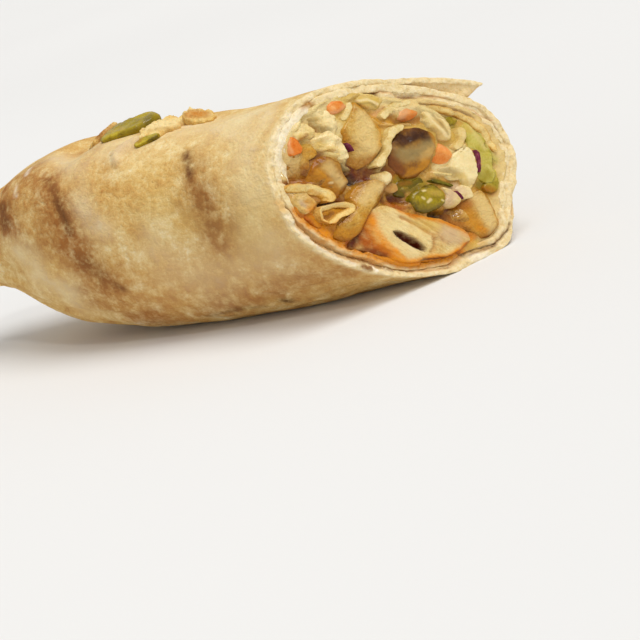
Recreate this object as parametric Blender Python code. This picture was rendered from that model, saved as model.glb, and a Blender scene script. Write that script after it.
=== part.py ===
"""Half of a shish taouk wrap: thin flatbread rolled around grilled chicken, fries and pickles.

The roll lies along X with its slanted cut face towards +X, and rests on the floor at z = 0.
A place in the cut face is (u, v): u across the roll along +Y, v up from the face's centre.
Lengths are in millimetres; a mesh is scaled to metres when it is made.
"""
import math

import bpy
import numpy as np

METRES = 0.001
ORIGIN_X = -50.0             # the part's origin: on its flat underside, this far from the cut's middle

# ---- the roll ----
CUT_HEIGHT = 27.3            # centre of the cut face above the floor
CUT_SLOPE_U = 0.56           # the cut runs forward towards the far side ...
CUT_SLOPE_V = -0.36          # ... and back towards the top
ROUNDNESS = 2.6              # power of the superellipse that the roll's sections follow
CUT_BLEND = 38.0             # length over which the cut's own outline fades into that section
# x, half width, underside, top
BODY_STATIONS = (
    (-152, 8.0, 23.4, 41.0),
    (-149, 10.4, 21.6, 43.2),
    (-140, 12.4, 20.2, 45.6),
    (-130, 15.2, 17.4, 48.4),
    (-120, 19.8, 11.0, 53.0),
    (-104, 25.2, 4.4, 57.2),
    (-86, 27.6, 0.7, 57.8),
    (-67, 28.4, -0.6, 57.0),
    (-36, 28.8, -0.6, 55.4),
    (18, 29.3, -0.3, 53.9),
)
# angle around the cut face in degrees, radius of the bread's outside there
CUT_OUTLINE = (
    (8, 34.6), (16, 34.4), (24, 32.6), (37, 30.7), (50, 29.9), (64, 29.6), (90, 30.4), (108, 31.9),
    (126, 32.7), (142, 32.8), (160, 32.2), (180, 31.3), (195, 29.8), (216, 27.4), (236, 26.3),
    (252, 26.2), (270, 27.4), (288, 29.0), (304, 31.4), (318, 30.2), (332, 30.5), (348, 33.6),
)

# ---- the flatbread ----
BREAD = 1.7                  # thickness
LAYER_GAP = 0.35             # air between two turns
PITCH = BREAD + LAYER_GAP
TIP_THINNING = 0.55          # share of the thickness left where the roll is twisted shut
OUTER_END = 22.0             # angle of the sheet's outer end, the loose flap
INNER_END = 788.0            # angle of its inner end, two turns further
SEAM_START = 20.0            # the next turn dives under the flap from here ...
SEAM_LENGTH = 45.0           # ... within this angle
EDGE_PAST = 4.0              # past the inner end the filling has one layer more of room: from here ...
EDGE_LENGTH = 14.0           # ... within this angle
FLAP_LIFT = 4.8              # how far the loose end stands off at the cut
FLAP_ANGLE = 40.0            # angle over which it bends away
FLAP_LENGTH = 4.0            # how far back from the cut it is loose
# angle, extra room between the first and second turn at the cut
SECOND_TURN_ROOM = (
    (0, 0.0), (60, 0.0), (110, 0.0), (150, 0.0), (166, 0.3), (180, 1.4), (192, 1.8), (208, 1.6),
    (218, 1.9), (228, 0.8), (238, 0.0), (252, 0.1), (264, 0.6), (280, 1.2), (292, 0.4), (310, 0.0),
)
BREAD_STEPS = 66             # sheet segments from end to end
# stations: 0 to 1 spans CUT_BLEND behind the cut, 1 to 2 the rest of the way to the end
BREAD_STATIONS = (0, 0.1, 0.5, 1, 1.18, 1.36, 1.54, 1.7, 1.8, 1.88, 1.94, 1.98, 2)

# ---- the foods: colour and roughness ----
FOODS = {
    "toasted_bread": ("#c9a86a", 0.75),
    "soft_bread": ("#d8bc88", 0.75),
    "fried_potato": ("#c9a45a", 0.5),
    "browned_potato": ("#96692c", 0.5),
    "grilled_chicken": ("#d8bd8e", 0.5),
    "marinated_chicken": ("#c97f2a", 0.5),
    "carrot": ("#e5852f", 0.45),
    "pickle": ("#97821e", 0.28),
    "creamy_slaw": ("#d9c595", 0.5),
    "white_cabbage": ("#d9c79a", 0.45),
    "red_cabbage": ("#6d2f48", 0.35),
    "lettuce": ("#bfb766", 0.4),
    "onion": ("#cfbb98", 0.35),
    "herb": ("#5a5a24", 0.4),
}

# ---- the filling ----
FILLING_GAP = 0.16           # each piece is drawn in by this much all round
FILLING_SLACK = 0.03         # and behind the cut leaves this share of the room free
FILLING_STATIONS = (0, 1, 1.5, 2)
BACK_END = -110.0            # where the long pieces end inside the roll
OUTLINE_STEPS = 20           # points around a piece
FACE_SHARES = (0.7, 0.35)    # the rings of its domed face, as shares of the outline
SHARP_EDGE = 50.0            # degrees above which two faces meet in a sharp edge

# name, food, how far it stands out of the cut, crown of its face, outline (u, v)
PIECES = (
    ("carrot_left", "carrot", 0.3, 0.4, (
        (-20.3, 18.4), (-18.5, 18.2), (-17.2, 19.2), (-17.1, 21.2), (-18.0, 22.1), (-19.3, 20.9))),
    ("carrot_top", "carrot", 0.4, 0.4, (
        (-5.2, 24.0), (-3.2, 23.6), (-0.9, 24.2), (-1.4, 25.4), (-3.2, 26.2), (-4.8, 25.8))),
    ("carrot_right_top", "carrot", 0.2, 0.4, (
        (10.4, 15.9), (12.0, 14.4), (14.4, 14.2), (16.2, 15.6), (15.4, 17.0), (12.4, 17.1))),
    ("carrot_right", "carrot", 0.5, 0.5, (
        (12.6, 1.4), (14.0, -0.6), (15.8, 0.9), (17.1, 3.0), (16.2, 4.7), (14.4, 4.0))),
    ("fry_upper_left", "fried_potato", -1.2, 0.8, (
        (-22.1, 13.2), (-20.0, 11.2), (-18.2, 12.9), (-16.6, 15.4), (-14.0, 15.8), (-13.8, 19.0),
        (-15.0, 20.6), (-17.0, 18.4), (-20.6, 17.8), (-21.9, 15.6))),
    ("fry_upper_large", "fried_potato", 1.2, 0.6, (
        (-6.1, 8.0), (-3.0, 8.8), (-0.2, 10.6), (1.4, 13.4), (3.8, 15.6), (4.2, 18.4), (3.0, 21.8),
        (2.0, 24.0), (0.4, 22.4), (-2.0, 20.6), (-5.6, 18.6), (-5.9, 14.0), (-7.6, 11.0))),
    ("fry_left_wedge", "browned_potato", -0.4, 0.8, (
        (-14.8, 1.8), (-12.4, 5.0), (-11.6, 8.0), (-11.0, 11.4), (-11.8, 14.0), (-15.2, 14.2),
        (-17.6, 12.2), (-19.3, 9.2), (-17.6, 5.6), (-16.0, 2.9))),
    ("fry_centre", "fried_potato", 1.6, 0.5, (
        (-22.4, -5.4), (-21.2, -7.1), (-17.4, -6.2), (-14.6, -4.2), (-12.6, -2.7), (-9.0, -2.4),
        (-6.8, -0.9), (-5.4, 1.6), (-6.6, 3.8), (-11.0, 3.8), (-13.4, 2.2), (-14.9, -0.9),
        (-17.4, -1.9), (-21.2, -3.1))),
    ("fry_lower_right", "fried_potato", 0.6, 0.6, (
        (6.4, -14.6), (9.0, -12.1), (13.6, -11.7), (17.4, -10.8), (19.0, -13.2), (17.8, -17.4),
        (15.6, -21.4), (13.4, -22.8), (11.2, -22.2), (9.0, -19.2))),
    ("potato_browned", "browned_potato", 0.4, 0.7, (
        (1.6, 4.6), (2.6, 1.2), (6.0, -0.2), (9.4, 0.9), (11.6, 3.6), (14.4, 6.2), (15.3, 8.6),
        (12.8, 11.1), (9.0, 12.0), (4.8, 10.4), (2.4, 7.8))),
    ("chicken_main", "grilled_chicken", 1.0, 0.8, (
        (-20.2, -9.5), (-17.0, -6.5), (-12.6, -3.4), (-8.6, -3.6), (-4.6, -7.0), (-1.2, -10.0),
        (2.6, -12.4), (6.0, -16.4), (7.7, -19.4), (6.0, -21.1), (-1.0, -22.1), (-6.0, -20.7),
        (-12.4, -18.2), (-16.2, -13.7))),
    ("chicken_scrap", "marinated_chicken", -0.8, 0.5, (
        (-26.0, 2.9), (-25.5, 2.6), (-25.0, 1.6), (-24.9, 0.4), (-24.4, -0.9), (-24.8, -1.3),
        (-25.5, -0.2), (-25.9, 1.5))),
    ("pickle_front", "pickle", 0.8, 0.5, (
        (-0.6, -7.2), (0.6, -4.6), (4.0, -3.9), (7.4, -4.4), (8.0, -6.4), (6.4, -9.4), (3.0, -10.0),
        (0.6, -9.2))),
    ("pickle_back", "pickle", -1.6, 0.4, (
        (-1.4, -2.4), (0.0, -0.4), (1.8, -0.2), (4.4, -1.4), (6.6, -1.6), (6.2, -3.1), (2.6, -3.5),
        (0.0, -3.6))),
    ("pickle_right", "pickle", -0.8, 0.3, (
        (22.0, 8.7), (23.4, 8.3), (24.4, 8.6), (23.9, 9.6), (22.6, 10.0))),
    ("slaw_left", "creamy_slaw", 0.0, 0.4, (
        (-16.7, 21.3), (-14.9, 21.7), (-12.8, 20.2), (-11.9, 21.6), (-12.4, 23.9), (-14.8, 24.2),
        (-16.6, 23.0))),
    ("slaw_middle", "creamy_slaw", 0.6, 0.5, (
        (-13.2, 17.4), (-12.4, 15.9), (-10.8, 15.0), (-9.9, 12.4), (-8.6, 12.2), (-8.2, 14.8),
        (-7.9, 17.4), (-8.9, 19.4), (-11.4, 19.4), (-12.9, 19.6))),
    ("slaw_upper", "creamy_slaw", 0.6, 0.5, (
        (-11.2, 22.2), (-9.8, 19.9), (-8.0, 19.4), (-6.9, 19.8), (-5.7, 21.0), (-6.2, 25.4),
        (-7.6, 26.2), (-9.8, 26.0), (-11.2, 24.6))),
    ("slaw_lump_left", "creamy_slaw", 0.2, 0.5, (
        (-26.9, 7.3), (-26.2, 8.4), (-25.0, 8.5), (-23.8, 7.8), (-22.9, 6.6), (-22.7, 5.3),
        (-23.4, 4.2), (-24.8, 3.6), (-26.1, 4.1), (-26.8, 5.4))),
    ("cabbage_top", "white_cabbage", 0.2, 0.4, (
        (3.0, 24.5), (3.7, 22.4), (5.4, 20.9), (7.8, 20.6), (8.6, 22.0), (8.0, 23.4), (5.0, 25.1))),
    ("cabbage_white_right", "white_cabbage", 0.6, 0.5, (
        (16.5, 8.8), (16.8, 6.0), (18.6, 5.4), (20.5, 7.6), (21.1, 10.8), (20.4, 12.2), (18.2, 14.0),
        (16.8, 14.2), (15.7, 12.4))),
    ("cabbage_white_lower", "white_cabbage", 0.9, 0.6, (
        (12.2, -1.6), (14.4, -1.6), (16.4, 0.4), (21.2, 0.8), (21.6, -1.2), (19.4, -5.4),
        (16.4, -8.4), (15.2, -8.4), (14.9, -5.6), (12.9, -4.2))),
    ("cabbage_purple_left", "white_cabbage", 0.5, 0.5, (
        (6.9, -9.9), (8.6, -7.8), (9.0, -5.8), (10.1, -6.9), (10.9, -8.9), (10.3, -10.9),
        (8.4, -11.1))),
    ("cabbage_purple_right", "white_cabbage", 0.5, 0.5, (
        (12.4, -10.6), (12.3, -8.6), (13.3, -6.9), (14.3, -7.4), (14.9, -9.4), (14.2, -10.7))),
    ("lettuce_lower", "lettuce", -0.6, 0.4, (
        (20.0, -10.8), (22.2, -9.9), (24.4, -8.2), (25.4, -7.6), (24.6, -10.2), (22.8, -12.4),
        (21.0, -12.6))),
    ("onion_lump", "onion", 0.9, 0.6, (
        (-4.7, 3.2), (-4.0, 4.4), (-2.2, 4.2), (-1.5, 3.2), (-2.4, 1.9), (-4.2, 1.8))),
    ("onion_lower", "onion", -0.6, 0.4, (
        (-4.4, 0.8), (-2.2, 0.9), (-1.1, 0.2), (-1.4, -1.1), (-2.6, -1.2), (-3.8, -0.4))),
)

# name, food, how far it stands out, width, centre line (u, v) in the cut face
STRIPS = (
    ("bread_fold_upper", "soft_bread", 0.8, 1.5, (
        (-24.4, 9.9), (-22.6, 9.1), (-21.0, 7.5), (-19.9, 6.1), (-19.6, 4.9), (-20.8, 4.3))),
    ("bread_fold_middle", "soft_bread", 0.6, 1.1, (
        (-23.7, 1.6), (-22.9, 2.6), (-20.8, 2.5), (-18.6, 2.0), (-16.9, 1.2), (-15.8, 0.0),
        (-17.4, -0.7), (-19.5, -0.7), (-21.5, -1.1), (-23.2, -1.4))),
    ("bread_fold_right", "soft_bread", 0.3, 1.5, (
        (18.1, 15.5), (22.4, 12.5), (25.9, 9.1), (27.7, 5.2), (28.2, 1.0), (27.7, -3.2))),
    ("cabbage_shred_top", "white_cabbage", 0.4, 1.2, (
        (-4.0, 21.4), (-2.2, 22.0), (-0.6, 22.9), (0.8, 24.6))),
    ("cabbage_shred_middle", "white_cabbage", 1.2, 1.5, (
        (-3.9, 6.7), (-1.2, 7.8), (1.3, 9.6), (3.2, 11.8), (5.8, 13.2), (9.0, 13.6))),
    ("cabbage_shred_right", "white_cabbage", 0.4, 1.7, (
        (6.0, 17.4), (8.6, 18.6), (12.0, 19.0), (15.0, 18.3))),
    ("cabbage_ruffle", "white_cabbage", 0.9, 1.5, (
        (17.9, 2.2), (19.6, 2.9), (21.0, 3.9), (22.2, 5.6), (22.5, 7.0))),
    ("lettuce_rib", "lettuce", -0.2, 3.0, (
        (20.0, -8.8), (22.5, -7.3), (24.1, -4.3), (24.8, -0.8), (25.0, 3.2), (25.1, 7.0))),
    ("red_cabbage_rind", "red_cabbage", 1.2, 0.9, (
        (22.4, -0.2), (22.2, -1.9), (21.2, -4.0), (19.8, -6.1))),
    ("red_cabbage_bit_left", "red_cabbage", 0.9, 1.0, (
        (-7.1, 15.6), (-6.9, 14.2), (-6.8, 12.9))),
    ("red_cabbage_bit_right", "red_cabbage", 0.5, 0.9, (
        (11.6, -8.0), (11.6, -9.2), (11.4, -10.6))),
    ("herb_leaf", "herb", 0.2, 1.0, (
        (7.7, -2.6), (9.2, -4.0), (10.6, -5.2), (11.8, -6.6))),
)
STRIP_STEPS = 9              # segments along a strip
STRIP_TAPER = 6              # power by which its width falls off ...
STRIP_TIP = 0.94             # ... up to this share of its half length

# the split between the meat's fibres: its ends in the cut face, half width and depth
SPLIT_TOP = (-10.0, -10.6)
SPLIT_END = (-5.7, -18.2)
SPLIT_HALF_WIDTH = 1.0
SPLIT_DEPTH = 9.0
SPLIT_STEPS = 12

# what lies where the top of the roll is torn: name, food, x, place around the roll in degrees,
# half length, half width, thickness
TOP_PIECES = (
    ("pickle_top", "pickle", -77.0, 94.0, 7.2, 4.4, 2.4),
    ("pickle_top_small", "pickle", -66.2, 114.0, 3.4, 1.4, 0.9),
    ("bread_torn_left", "soft_bread", -88.4, 92.0, 3.6, 4.4, 1.7),
    ("bread_torn_right", "soft_bread", -64.4, 101.0, 4.8, 4.3, 1.7),
    ("bread_flake_top", "soft_bread", -55.0, 91.0, 5.0, 3.2, 1.9),
)
TOP_FOOT = 0.45              # gap between the roll and these pieces
# size and share of thickness of each ring, from the top outwards and back under
TOP_RINGS = ((0.3, 1.0), (0.75, 0.94), (0.95, 0.6), (1.0, 0.2), (0.96, 0.0), (0.6, 0.0), (0.25, 0.0))
TOP_STEPS = 16

# the sheet's gathered middle, tucked into the twisted tip
TUCK_STATIONS = (-122.0, -130.0, -140.0, -149.0, -151.0)
TUCK_SHARES = (0.5, 0.8, 0.88, 0.84, 0.6)
TUCK_PLEATS = 5
TUCK_PLEAT_DEPTH = 0.12
TUCK_STEPS = 20


# ---- curves ----
def smooth(t):
    """Ease from 0 to 1 with level ends."""
    t = np.clip(t, 0.0, 1.0)
    return t * t * (3.0 - 2.0 * t)


def through(knots_x, knots_y, x, period=None):
    """A smooth curve through knots: each slope is the mean slope between its neighbours."""
    kx, ky = np.asarray(knots_x, float), np.asarray(knots_y, float)
    if period:
        kx = np.concatenate([kx[-2:] - period, kx, kx[:2] + period])
        ky = np.concatenate([ky[-2:], ky, ky[:2]])
        x = kx[2] + np.mod(x - kx[2], period)
    x = np.clip(x, kx[0], kx[-1])
    slope = np.gradient(ky, kx)
    i = np.clip(np.searchsorted(kx, x, side="right") - 1, 0, len(kx) - 2)
    step = kx[i + 1] - kx[i]
    t = (x - kx[i]) / step
    rise = t * t * (3.0 - 2.0 * t)
    return (ky[i] + (ky[i + 1] - ky[i]) * rise
            + step * (t * (1.0 - t) ** 2 * slope[i] - t * t * (1.0 - t) * slope[i + 1]))


def closed_curve(points, count):
    """Points evenly spread, counter-clockwise, along a smooth closed curve through the given ones."""
    ring = np.asarray(points, float)
    reach = np.cumsum(np.r_[0.0, np.hypot(*(np.roll(ring, -1, 0) - ring).T)])
    at = np.arange(count) / count * reach[-1]
    curve = np.stack([through(reach[:-1], ring[:, k], at, reach[-1]) for k in (0, 1)], -1)
    ahead = np.roll(curve, -1, 0)
    turns_left = np.sum(curve[:, 0] * ahead[:, 1] - curve[:, 1] * ahead[:, 0]) > 0.0
    return curve if turns_left else curve[::-1]


def open_curve(points, count):
    """Points evenly spread along a smooth open curve through the given ones."""
    line = np.asarray(points, float)
    reach = np.r_[0.0, np.cumsum(np.hypot(*np.diff(line, axis=0).T))]
    at = np.linspace(0.0, reach[-1], count)
    return np.stack([through(reach, line[:, k], at) for k in (0, 1)], -1)


def drawn_in(ring, margin):
    """A counter-clockwise ring moved inwards by a margin along its normals."""
    along = np.roll(ring, -1, 0) - np.roll(ring, 1, 0)
    along /= np.hypot(*along.T)[:, None]
    return ring + margin * np.stack([-along[:, 1], along[:, 0]], -1)


# ---- the roll's form ----
def body_size(x):
    """Half width, half height and centre height of the roll at x."""
    table = np.array(BODY_STATIONS, float).T
    half_width = through(table[0], table[1], x)
    under = through(table[0], table[2], x)
    top = through(table[0], table[3], x)
    return half_width, (top - under) / 2.0, (top + under) / 2.0


def cut_radius(angle):
    """Radius of the bread's outside in the cut face."""
    table = np.radians(np.array(CUT_OUTLINE, float)[:, 0])
    return through(table, [row[1] for row in CUT_OUTLINE], angle, 2.0 * math.pi)


def near_cut(behind):
    """1 in the cut face, fading to 0 at CUT_BLEND behind it."""
    return 1.0 - np.clip(behind / CUT_BLEND, 0.0, 1.0)


def roll_radius(x, angle, behind):
    """Radius of the roll's outside at x, the given length behind the cut face."""
    a, b, _ = body_size(x)
    plain = (np.abs(np.cos(angle) / a) ** ROUNDNESS
             + np.abs(np.sin(angle) / b) ** ROUNDNESS) ** (-1.0 / ROUNDNESS)
    share = near_cut(behind)
    return share * cut_radius(angle) + (1.0 - share) * plain


def centre_height(x, behind):
    """Height of the roll's axis at x."""
    share = near_cut(behind)
    return share * CUT_HEIGHT + (1.0 - share) * body_size(x)[2]


def cut_x(u, v):
    """The slanted cut plane."""
    return CUT_SLOPE_U * u + CUT_SLOPE_V * v


def station_x(front, end, station):
    """x of a station between the cut face and the far end."""
    near = front - CUT_BLEND * min(station, 1.0)
    return near + (end - near) * max(station - 1.0, 0.0)


def turns_inside(angle):
    """How many whole turns lie outside the sheet at this angle along it; -1 on the flap."""
    seams = [math.radians(SEAM_START + 360.0 * k) for k in range(3)]
    return sum(smooth((angle - s) / math.radians(SEAM_LENGTH)) for s in seams) - 1.0


def thinning(x):
    """Share of the layers' thickness left at x, where the roll narrows to its tip."""
    return 1.0 - (1.0 - TIP_THINNING) * smooth((BODY_STATIONS[4][0] - x)
                                               / (BODY_STATIONS[4][0] - BODY_STATIONS[0][0]))


def second_turn_room(angle):
    """Extra room outside the second turn."""
    table = np.array(SECOND_TURN_ROOM, float).T
    return through(np.radians(table[0]), table[1], angle, 2.0 * math.pi)


def sheet_depth(angle, x, behind):
    """Depth of the sheet's outer face below the roll's outside."""
    depth = PITCH * turns_inside(angle) * thinning(x)
    full_turn = (angle > math.radians(SEAM_START + 360.0)) & (angle < math.radians(SEAM_START + 720.0))
    depth = depth + np.where(full_turn, second_turn_room(angle), 0.0) * near_cut(behind)
    bend = np.clip(1.0 - (angle - math.radians(OUTER_END)) / math.radians(FLAP_ANGLE), 0.0, 1.0)
    return depth - FLAP_LIFT * bend ** 1.5 * (1.0 - smooth(behind / FLAP_LENGTH))


def sheet_points(angle, station, layer):
    """Points of the flatbread at an angle along the sheet; layer is 0 outside and 1 inside."""
    at_cut = sheet_depth(angle, 0.0, 0.0) + layer * BREAD
    radius = cut_radius(angle) - at_cut
    front = cut_x(radius * np.cos(angle), radius * np.sin(angle))
    x = station_x(front, BODY_STATIONS[0][0], station)
    behind = front - x
    depth = sheet_depth(angle, x, behind) + layer * BREAD * thinning(x)
    radius = roll_radius(x, angle, behind) - depth
    z = centre_height(x, behind) + radius * np.sin(angle)
    return np.stack([x, radius * np.cos(angle), np.maximum(z, depth)], -1)


def filling_radius(x, angle, behind):
    """Radius of the room left inside the flatbread."""
    turn = np.mod(angle, 2.0 * math.pi)
    seam = smooth((turn - math.radians(SEAM_START)) / math.radians(SEAM_LENGTH))
    past = smooth((turn - math.radians(INNER_END - 720.0 + EDGE_PAST)) / math.radians(EDGE_LENGTH))
    depth = (PITCH * (1.0 + seam - past) + BREAD) * thinning(x)
    return roll_radius(x, angle, behind) - depth - second_turn_room(angle) * near_cut(behind)


def filling_points(ring, front, station):
    """A ring of cut-face places carried back into the roll, narrowing as the roll does."""
    u, v = ring[..., 0], ring[..., 1]
    angle = np.arctan2(v, u)
    x = station_x(cut_x(u, v) + front, BACK_END, station)
    behind = np.maximum(cut_x(u, v) - x, 0.0)
    slack = 1.0 - FILLING_SLACK * smooth(behind / CUT_BLEND)
    scale = slack * filling_radius(x, angle, behind) / filling_radius(cut_x(u, v), angle, 0.0)
    return np.stack([x, u * scale, centre_height(x, behind) + v * scale], -1)


# ---- meshes ----
def colour(code):
    """Linear colour of an sRGB code."""
    parts = [int(code[k:k + 2], 16) / 255.0 for k in (1, 3, 5)]
    return [p / 12.92 if p <= 0.04045 else ((p + 0.055) / 1.055) ** 2.4 for p in parts] + [1.0]


def material(name, code, roughness):
    """A plain food surface."""
    made = bpy.data.materials.new(name)
    made.use_nodes = True
    shader = made.node_tree.nodes["Principled BSDF"]
    shader.inputs["Base Color"].default_value = colour(code)
    shader.inputs["Roughness"].default_value = roughness
    shader.inputs["Metallic"].default_value = 0.0
    return made


def solid(name, loops, front_faces, back_faces, extra=()):
    """A closed solid from loops of equal length, with its end faces given by vertex numbers."""
    count = len(loops[0])
    points = np.concatenate([np.reshape(p, (-1, 3)) for p in (*loops, *extra)])
    points = (points - (ORIGIN_X, 0.0, 0.0)) * METRES
    faces = []
    for k in range(len(loops) - 1):
        near, far = k * count, (k + 1) * count
        faces += [(near + i, far + i, far + (i + 1) % count, near + (i + 1) % count)
                  for i in range(count)]
    mesh = bpy.data.meshes.new(name)
    mesh.from_pydata(points.tolist(), [], faces + front_faces + back_faces)
    mesh.validate()
    mesh.update()
    made = bpy.data.objects.new(name, mesh)
    bpy.context.scene.collection.objects.link(made)
    mesh.shade_smooth()
    mesh.set_sharp_from_angle(angle=math.radians(SHARP_EDGE))
    return made


def flatbread():
    """One sheet of thin bread, rolled twice around the filling and twisted shut at the tip."""
    angle = np.radians(np.linspace(OUTER_END, INNER_END, BREAD_STEPS + 1))
    loops = []
    for station in BREAD_STATIONS:
        outside = sheet_points(angle, station, 0.0)
        inside = sheet_points(angle, station, 1.0)
        loops.append(np.concatenate([outside, inside[::-1]]))
    count = len(loops[0])
    last = (len(loops) - 1) * count
    front, back = [], []
    for i in range(BREAD_STEPS):
        j = count - 1 - i
        front.append((i, i + 1, j - 1, j))
        back.append((last + j, last + j - 1, last + i + 1, last + i))
    return solid("flatbread", loops, front, back)


def face_rings(ring, front, crown):
    """The rings and the middle point of a piece's slightly domed cut face."""
    middle = ring.mean(0)
    rings = []
    for size in FACE_SHARES:
        inner = middle + (ring - middle) * size
        rings.append(filling_points(inner, front + crown * (1.0 - size * size), 0.0))
    rings.append(filling_points(middle[None, :], front + crown, 0.0))
    return rings


def piece(name, front, crown, outline):
    """A piece of filling: its outline in the cut face carried back through the roll."""
    ring = drawn_in(closed_curve(outline, OUTLINE_STEPS), FILLING_GAP)
    count = len(ring)
    loops = [filling_points(ring, front, at) for at in FILLING_STATIONS]
    face = face_rings(ring, front, crown)
    base = len(loops) * count
    front_faces = []
    for i in range(count):
        j = (i + 1) % count
        front_faces.append((i, j, base + j, base + i))
        front_faces.append((base + i, base + j, base + count + j, base + count + i))
        front_faces.append((base + count + i, base + count + j, base + 2 * count))
    last = (len(loops) - 1) * count
    back_faces = [tuple(last + i for i in reversed(range(count)))]
    return solid(name, loops, front_faces, back_faces, face)


def strip(name, front, width, line):
    """A shred or a fold of bread: a band of even width along its centre line."""
    middle = open_curve(line, STRIP_STEPS + 1)
    along = np.gradient(middle, axis=0)
    along /= np.hypot(*along.T)[:, None]
    side = np.stack([-along[:, 1], along[:, 0]], -1)
    tip = np.linspace(-STRIP_TIP, STRIP_TIP, STRIP_STEPS + 1) ** STRIP_TAPER
    half = width / 2.0 * np.sqrt(1.0 - tip)
    ring = np.concatenate([middle - side * half[:, None], (middle + side * half[:, None])[::-1]])
    count = len(ring)
    loops = [filling_points(ring, front, at) for at in FILLING_STATIONS]
    last = (len(loops) - 1) * count
    front_faces, back_faces = [], []
    for i in range(STRIP_STEPS):
        j = count - 1 - i
        front_faces.append((i, i + 1, j - 1, j))
        back_faces.append((last + j, last + j - 1, last + i + 1, last + i))
    return solid(name, loops, front_faces, back_faces)


def top_piece(name, x, place, half_length, half_width, thickness):
    """A low oval piece that follows the roll's top, its rings at shares of size and thickness."""
    turn = np.linspace(0.0, 2.0 * math.pi, TOP_STEPS, endpoint=False)
    middle = math.radians(place)
    loops = []
    for size, share in TOP_RINGS:
        at = x + size * half_length * np.cos(turn)
        across = size * half_width * np.sin(turn)
        angle = middle - across / roll_radius(x, middle, CUT_BLEND)
        radius = roll_radius(at, angle, CUT_BLEND) + TOP_FOOT + share * thickness
        loops.append(np.stack([at, radius * np.cos(angle),
                               body_size(at)[2] + radius * np.sin(angle)], -1))
    last = (len(loops) - 1) * TOP_STEPS
    caps = [tuple(range(TOP_STEPS))], [tuple(last + i for i in reversed(range(TOP_STEPS)))]
    return solid(name, loops, *caps)


def tucked_end():
    """The pleated plug of bread that closes the twisted tip."""
    angle = np.linspace(0.0, 2.0 * math.pi, TUCK_STEPS, endpoint=False)
    pleats = 1.0 - TUCK_PLEAT_DEPTH * (0.5 + 0.5 * np.cos(TUCK_PLEATS * angle))
    loops = []
    for x, share in zip(TUCK_STATIONS, TUCK_SHARES):
        radius = share * pleats * filling_radius(x, angle, CUT_BLEND)
        loops.append(np.stack([np.full(TUCK_STEPS, x), radius * np.cos(angle),
                               body_size(x)[2] + radius * np.sin(angle)], -1))
    last = (len(loops) - 1) * TUCK_STEPS
    caps = [tuple(range(TUCK_STEPS))], [tuple(last + i for i in reversed(range(TUCK_STEPS)))]
    return solid("bread_tuck", loops, *caps)


def split_cutter():
    """The narrow lens that parts the chicken's fibres."""
    top, end = np.array(SPLIT_TOP), np.array(SPLIT_END)
    along = (end - top) / 2.0
    side = np.array([-along[1], along[0]]) / np.hypot(*along)
    turn = np.linspace(0.0, 2.0 * math.pi, SPLIT_STEPS, endpoint=False)
    ring = ((top + end) / 2.0 + np.outer(np.cos(turn), along)
            + np.outer(np.sin(turn), side) * SPLIT_HALF_WIDTH)
    if np.cross(along, side) < 0:
        ring = ring[::-1]
    reach = cut_x(*ring.T)
    loops = [np.stack([reach + dx, ring[:, 0], CUT_HEIGHT + ring[:, 1]], -1)
             for dx in (SPLIT_DEPTH, -SPLIT_DEPTH)]
    caps = [tuple(range(SPLIT_STEPS))], [tuple(SPLIT_STEPS + i for i in reversed(range(SPLIT_STEPS)))]
    cutter = solid("split_cutter", loops, *caps)
    cutter.hide_render = True
    cutter.display_type = "WIRE"
    return cutter


def split_meat(meat):
    """Cut the split into the chicken's face."""
    cut = meat.modifiers.new("split", "BOOLEAN")
    cut.operation = "DIFFERENCE"
    cut.solver = "EXACT"
    cut.object = split_cutter()


def main():
    for old in list(bpy.data.objects):
        bpy.data.objects.remove(old)
    foods = {name: material(name, *look) for name, look in FOODS.items()}
    flatbread().data.materials.append(foods["toasted_bread"])
    tucked_end().data.materials.append(foods["toasted_bread"])
    for name, food, *place in TOP_PIECES:
        top_piece(name, *place).data.materials.append(foods[food])
    for name, food, front, crown, outline in PIECES:
        piece(name, front, crown, outline).data.materials.append(foods[food])
    for name, food, front, width, line in STRIPS:
        strip(name, front, width, line).data.materials.append(foods[food])
    split_meat(bpy.data.objects["chicken_main"])


if __name__ == "__main__":
    main()
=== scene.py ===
# %% [markdown]
# # Half of a shish taouk wrap
# The wrap is one sheet of thin flatbread, rolled twice around chicken, fries, pickles and slaw,
# and cut on a slant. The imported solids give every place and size. This lesson dresses them: each
# piece is worked out again as a fine surface in numpy, and gets a material made of nodes.

# %% Load the solids
import math
import bmesh
import bpy
import numpy as np
from mathutils import Matrix, Vector


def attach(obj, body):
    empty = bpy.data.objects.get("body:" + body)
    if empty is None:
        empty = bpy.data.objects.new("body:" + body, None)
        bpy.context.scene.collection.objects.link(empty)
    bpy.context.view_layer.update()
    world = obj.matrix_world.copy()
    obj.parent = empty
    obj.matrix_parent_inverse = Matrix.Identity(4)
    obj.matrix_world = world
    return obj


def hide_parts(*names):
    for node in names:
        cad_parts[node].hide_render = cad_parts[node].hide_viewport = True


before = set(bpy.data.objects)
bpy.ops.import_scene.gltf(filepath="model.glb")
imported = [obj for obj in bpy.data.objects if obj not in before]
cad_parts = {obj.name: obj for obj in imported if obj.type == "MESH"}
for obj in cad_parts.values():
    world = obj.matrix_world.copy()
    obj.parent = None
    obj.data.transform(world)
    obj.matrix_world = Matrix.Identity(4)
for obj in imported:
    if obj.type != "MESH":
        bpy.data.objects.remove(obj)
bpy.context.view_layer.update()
METRES = 0.001
FULL_TURN = 2.0 * math.pi

# %% [markdown]
# ## Curves that run through a few named places
# A baker's shape has no formula of its own, but it is smooth. So a few measured places are joined
# by a curve whose slope at each place is the mean slope between its two neighbours.

# %% Smooth steps and curves
def smooth(t):
    """Ease from 0 to 1 with level ends: 3 t squared minus 2 t cubed."""
    t = np.clip(t, 0.0, 1.0)
    return t * t * (3.0 - 2.0 * t)


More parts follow.
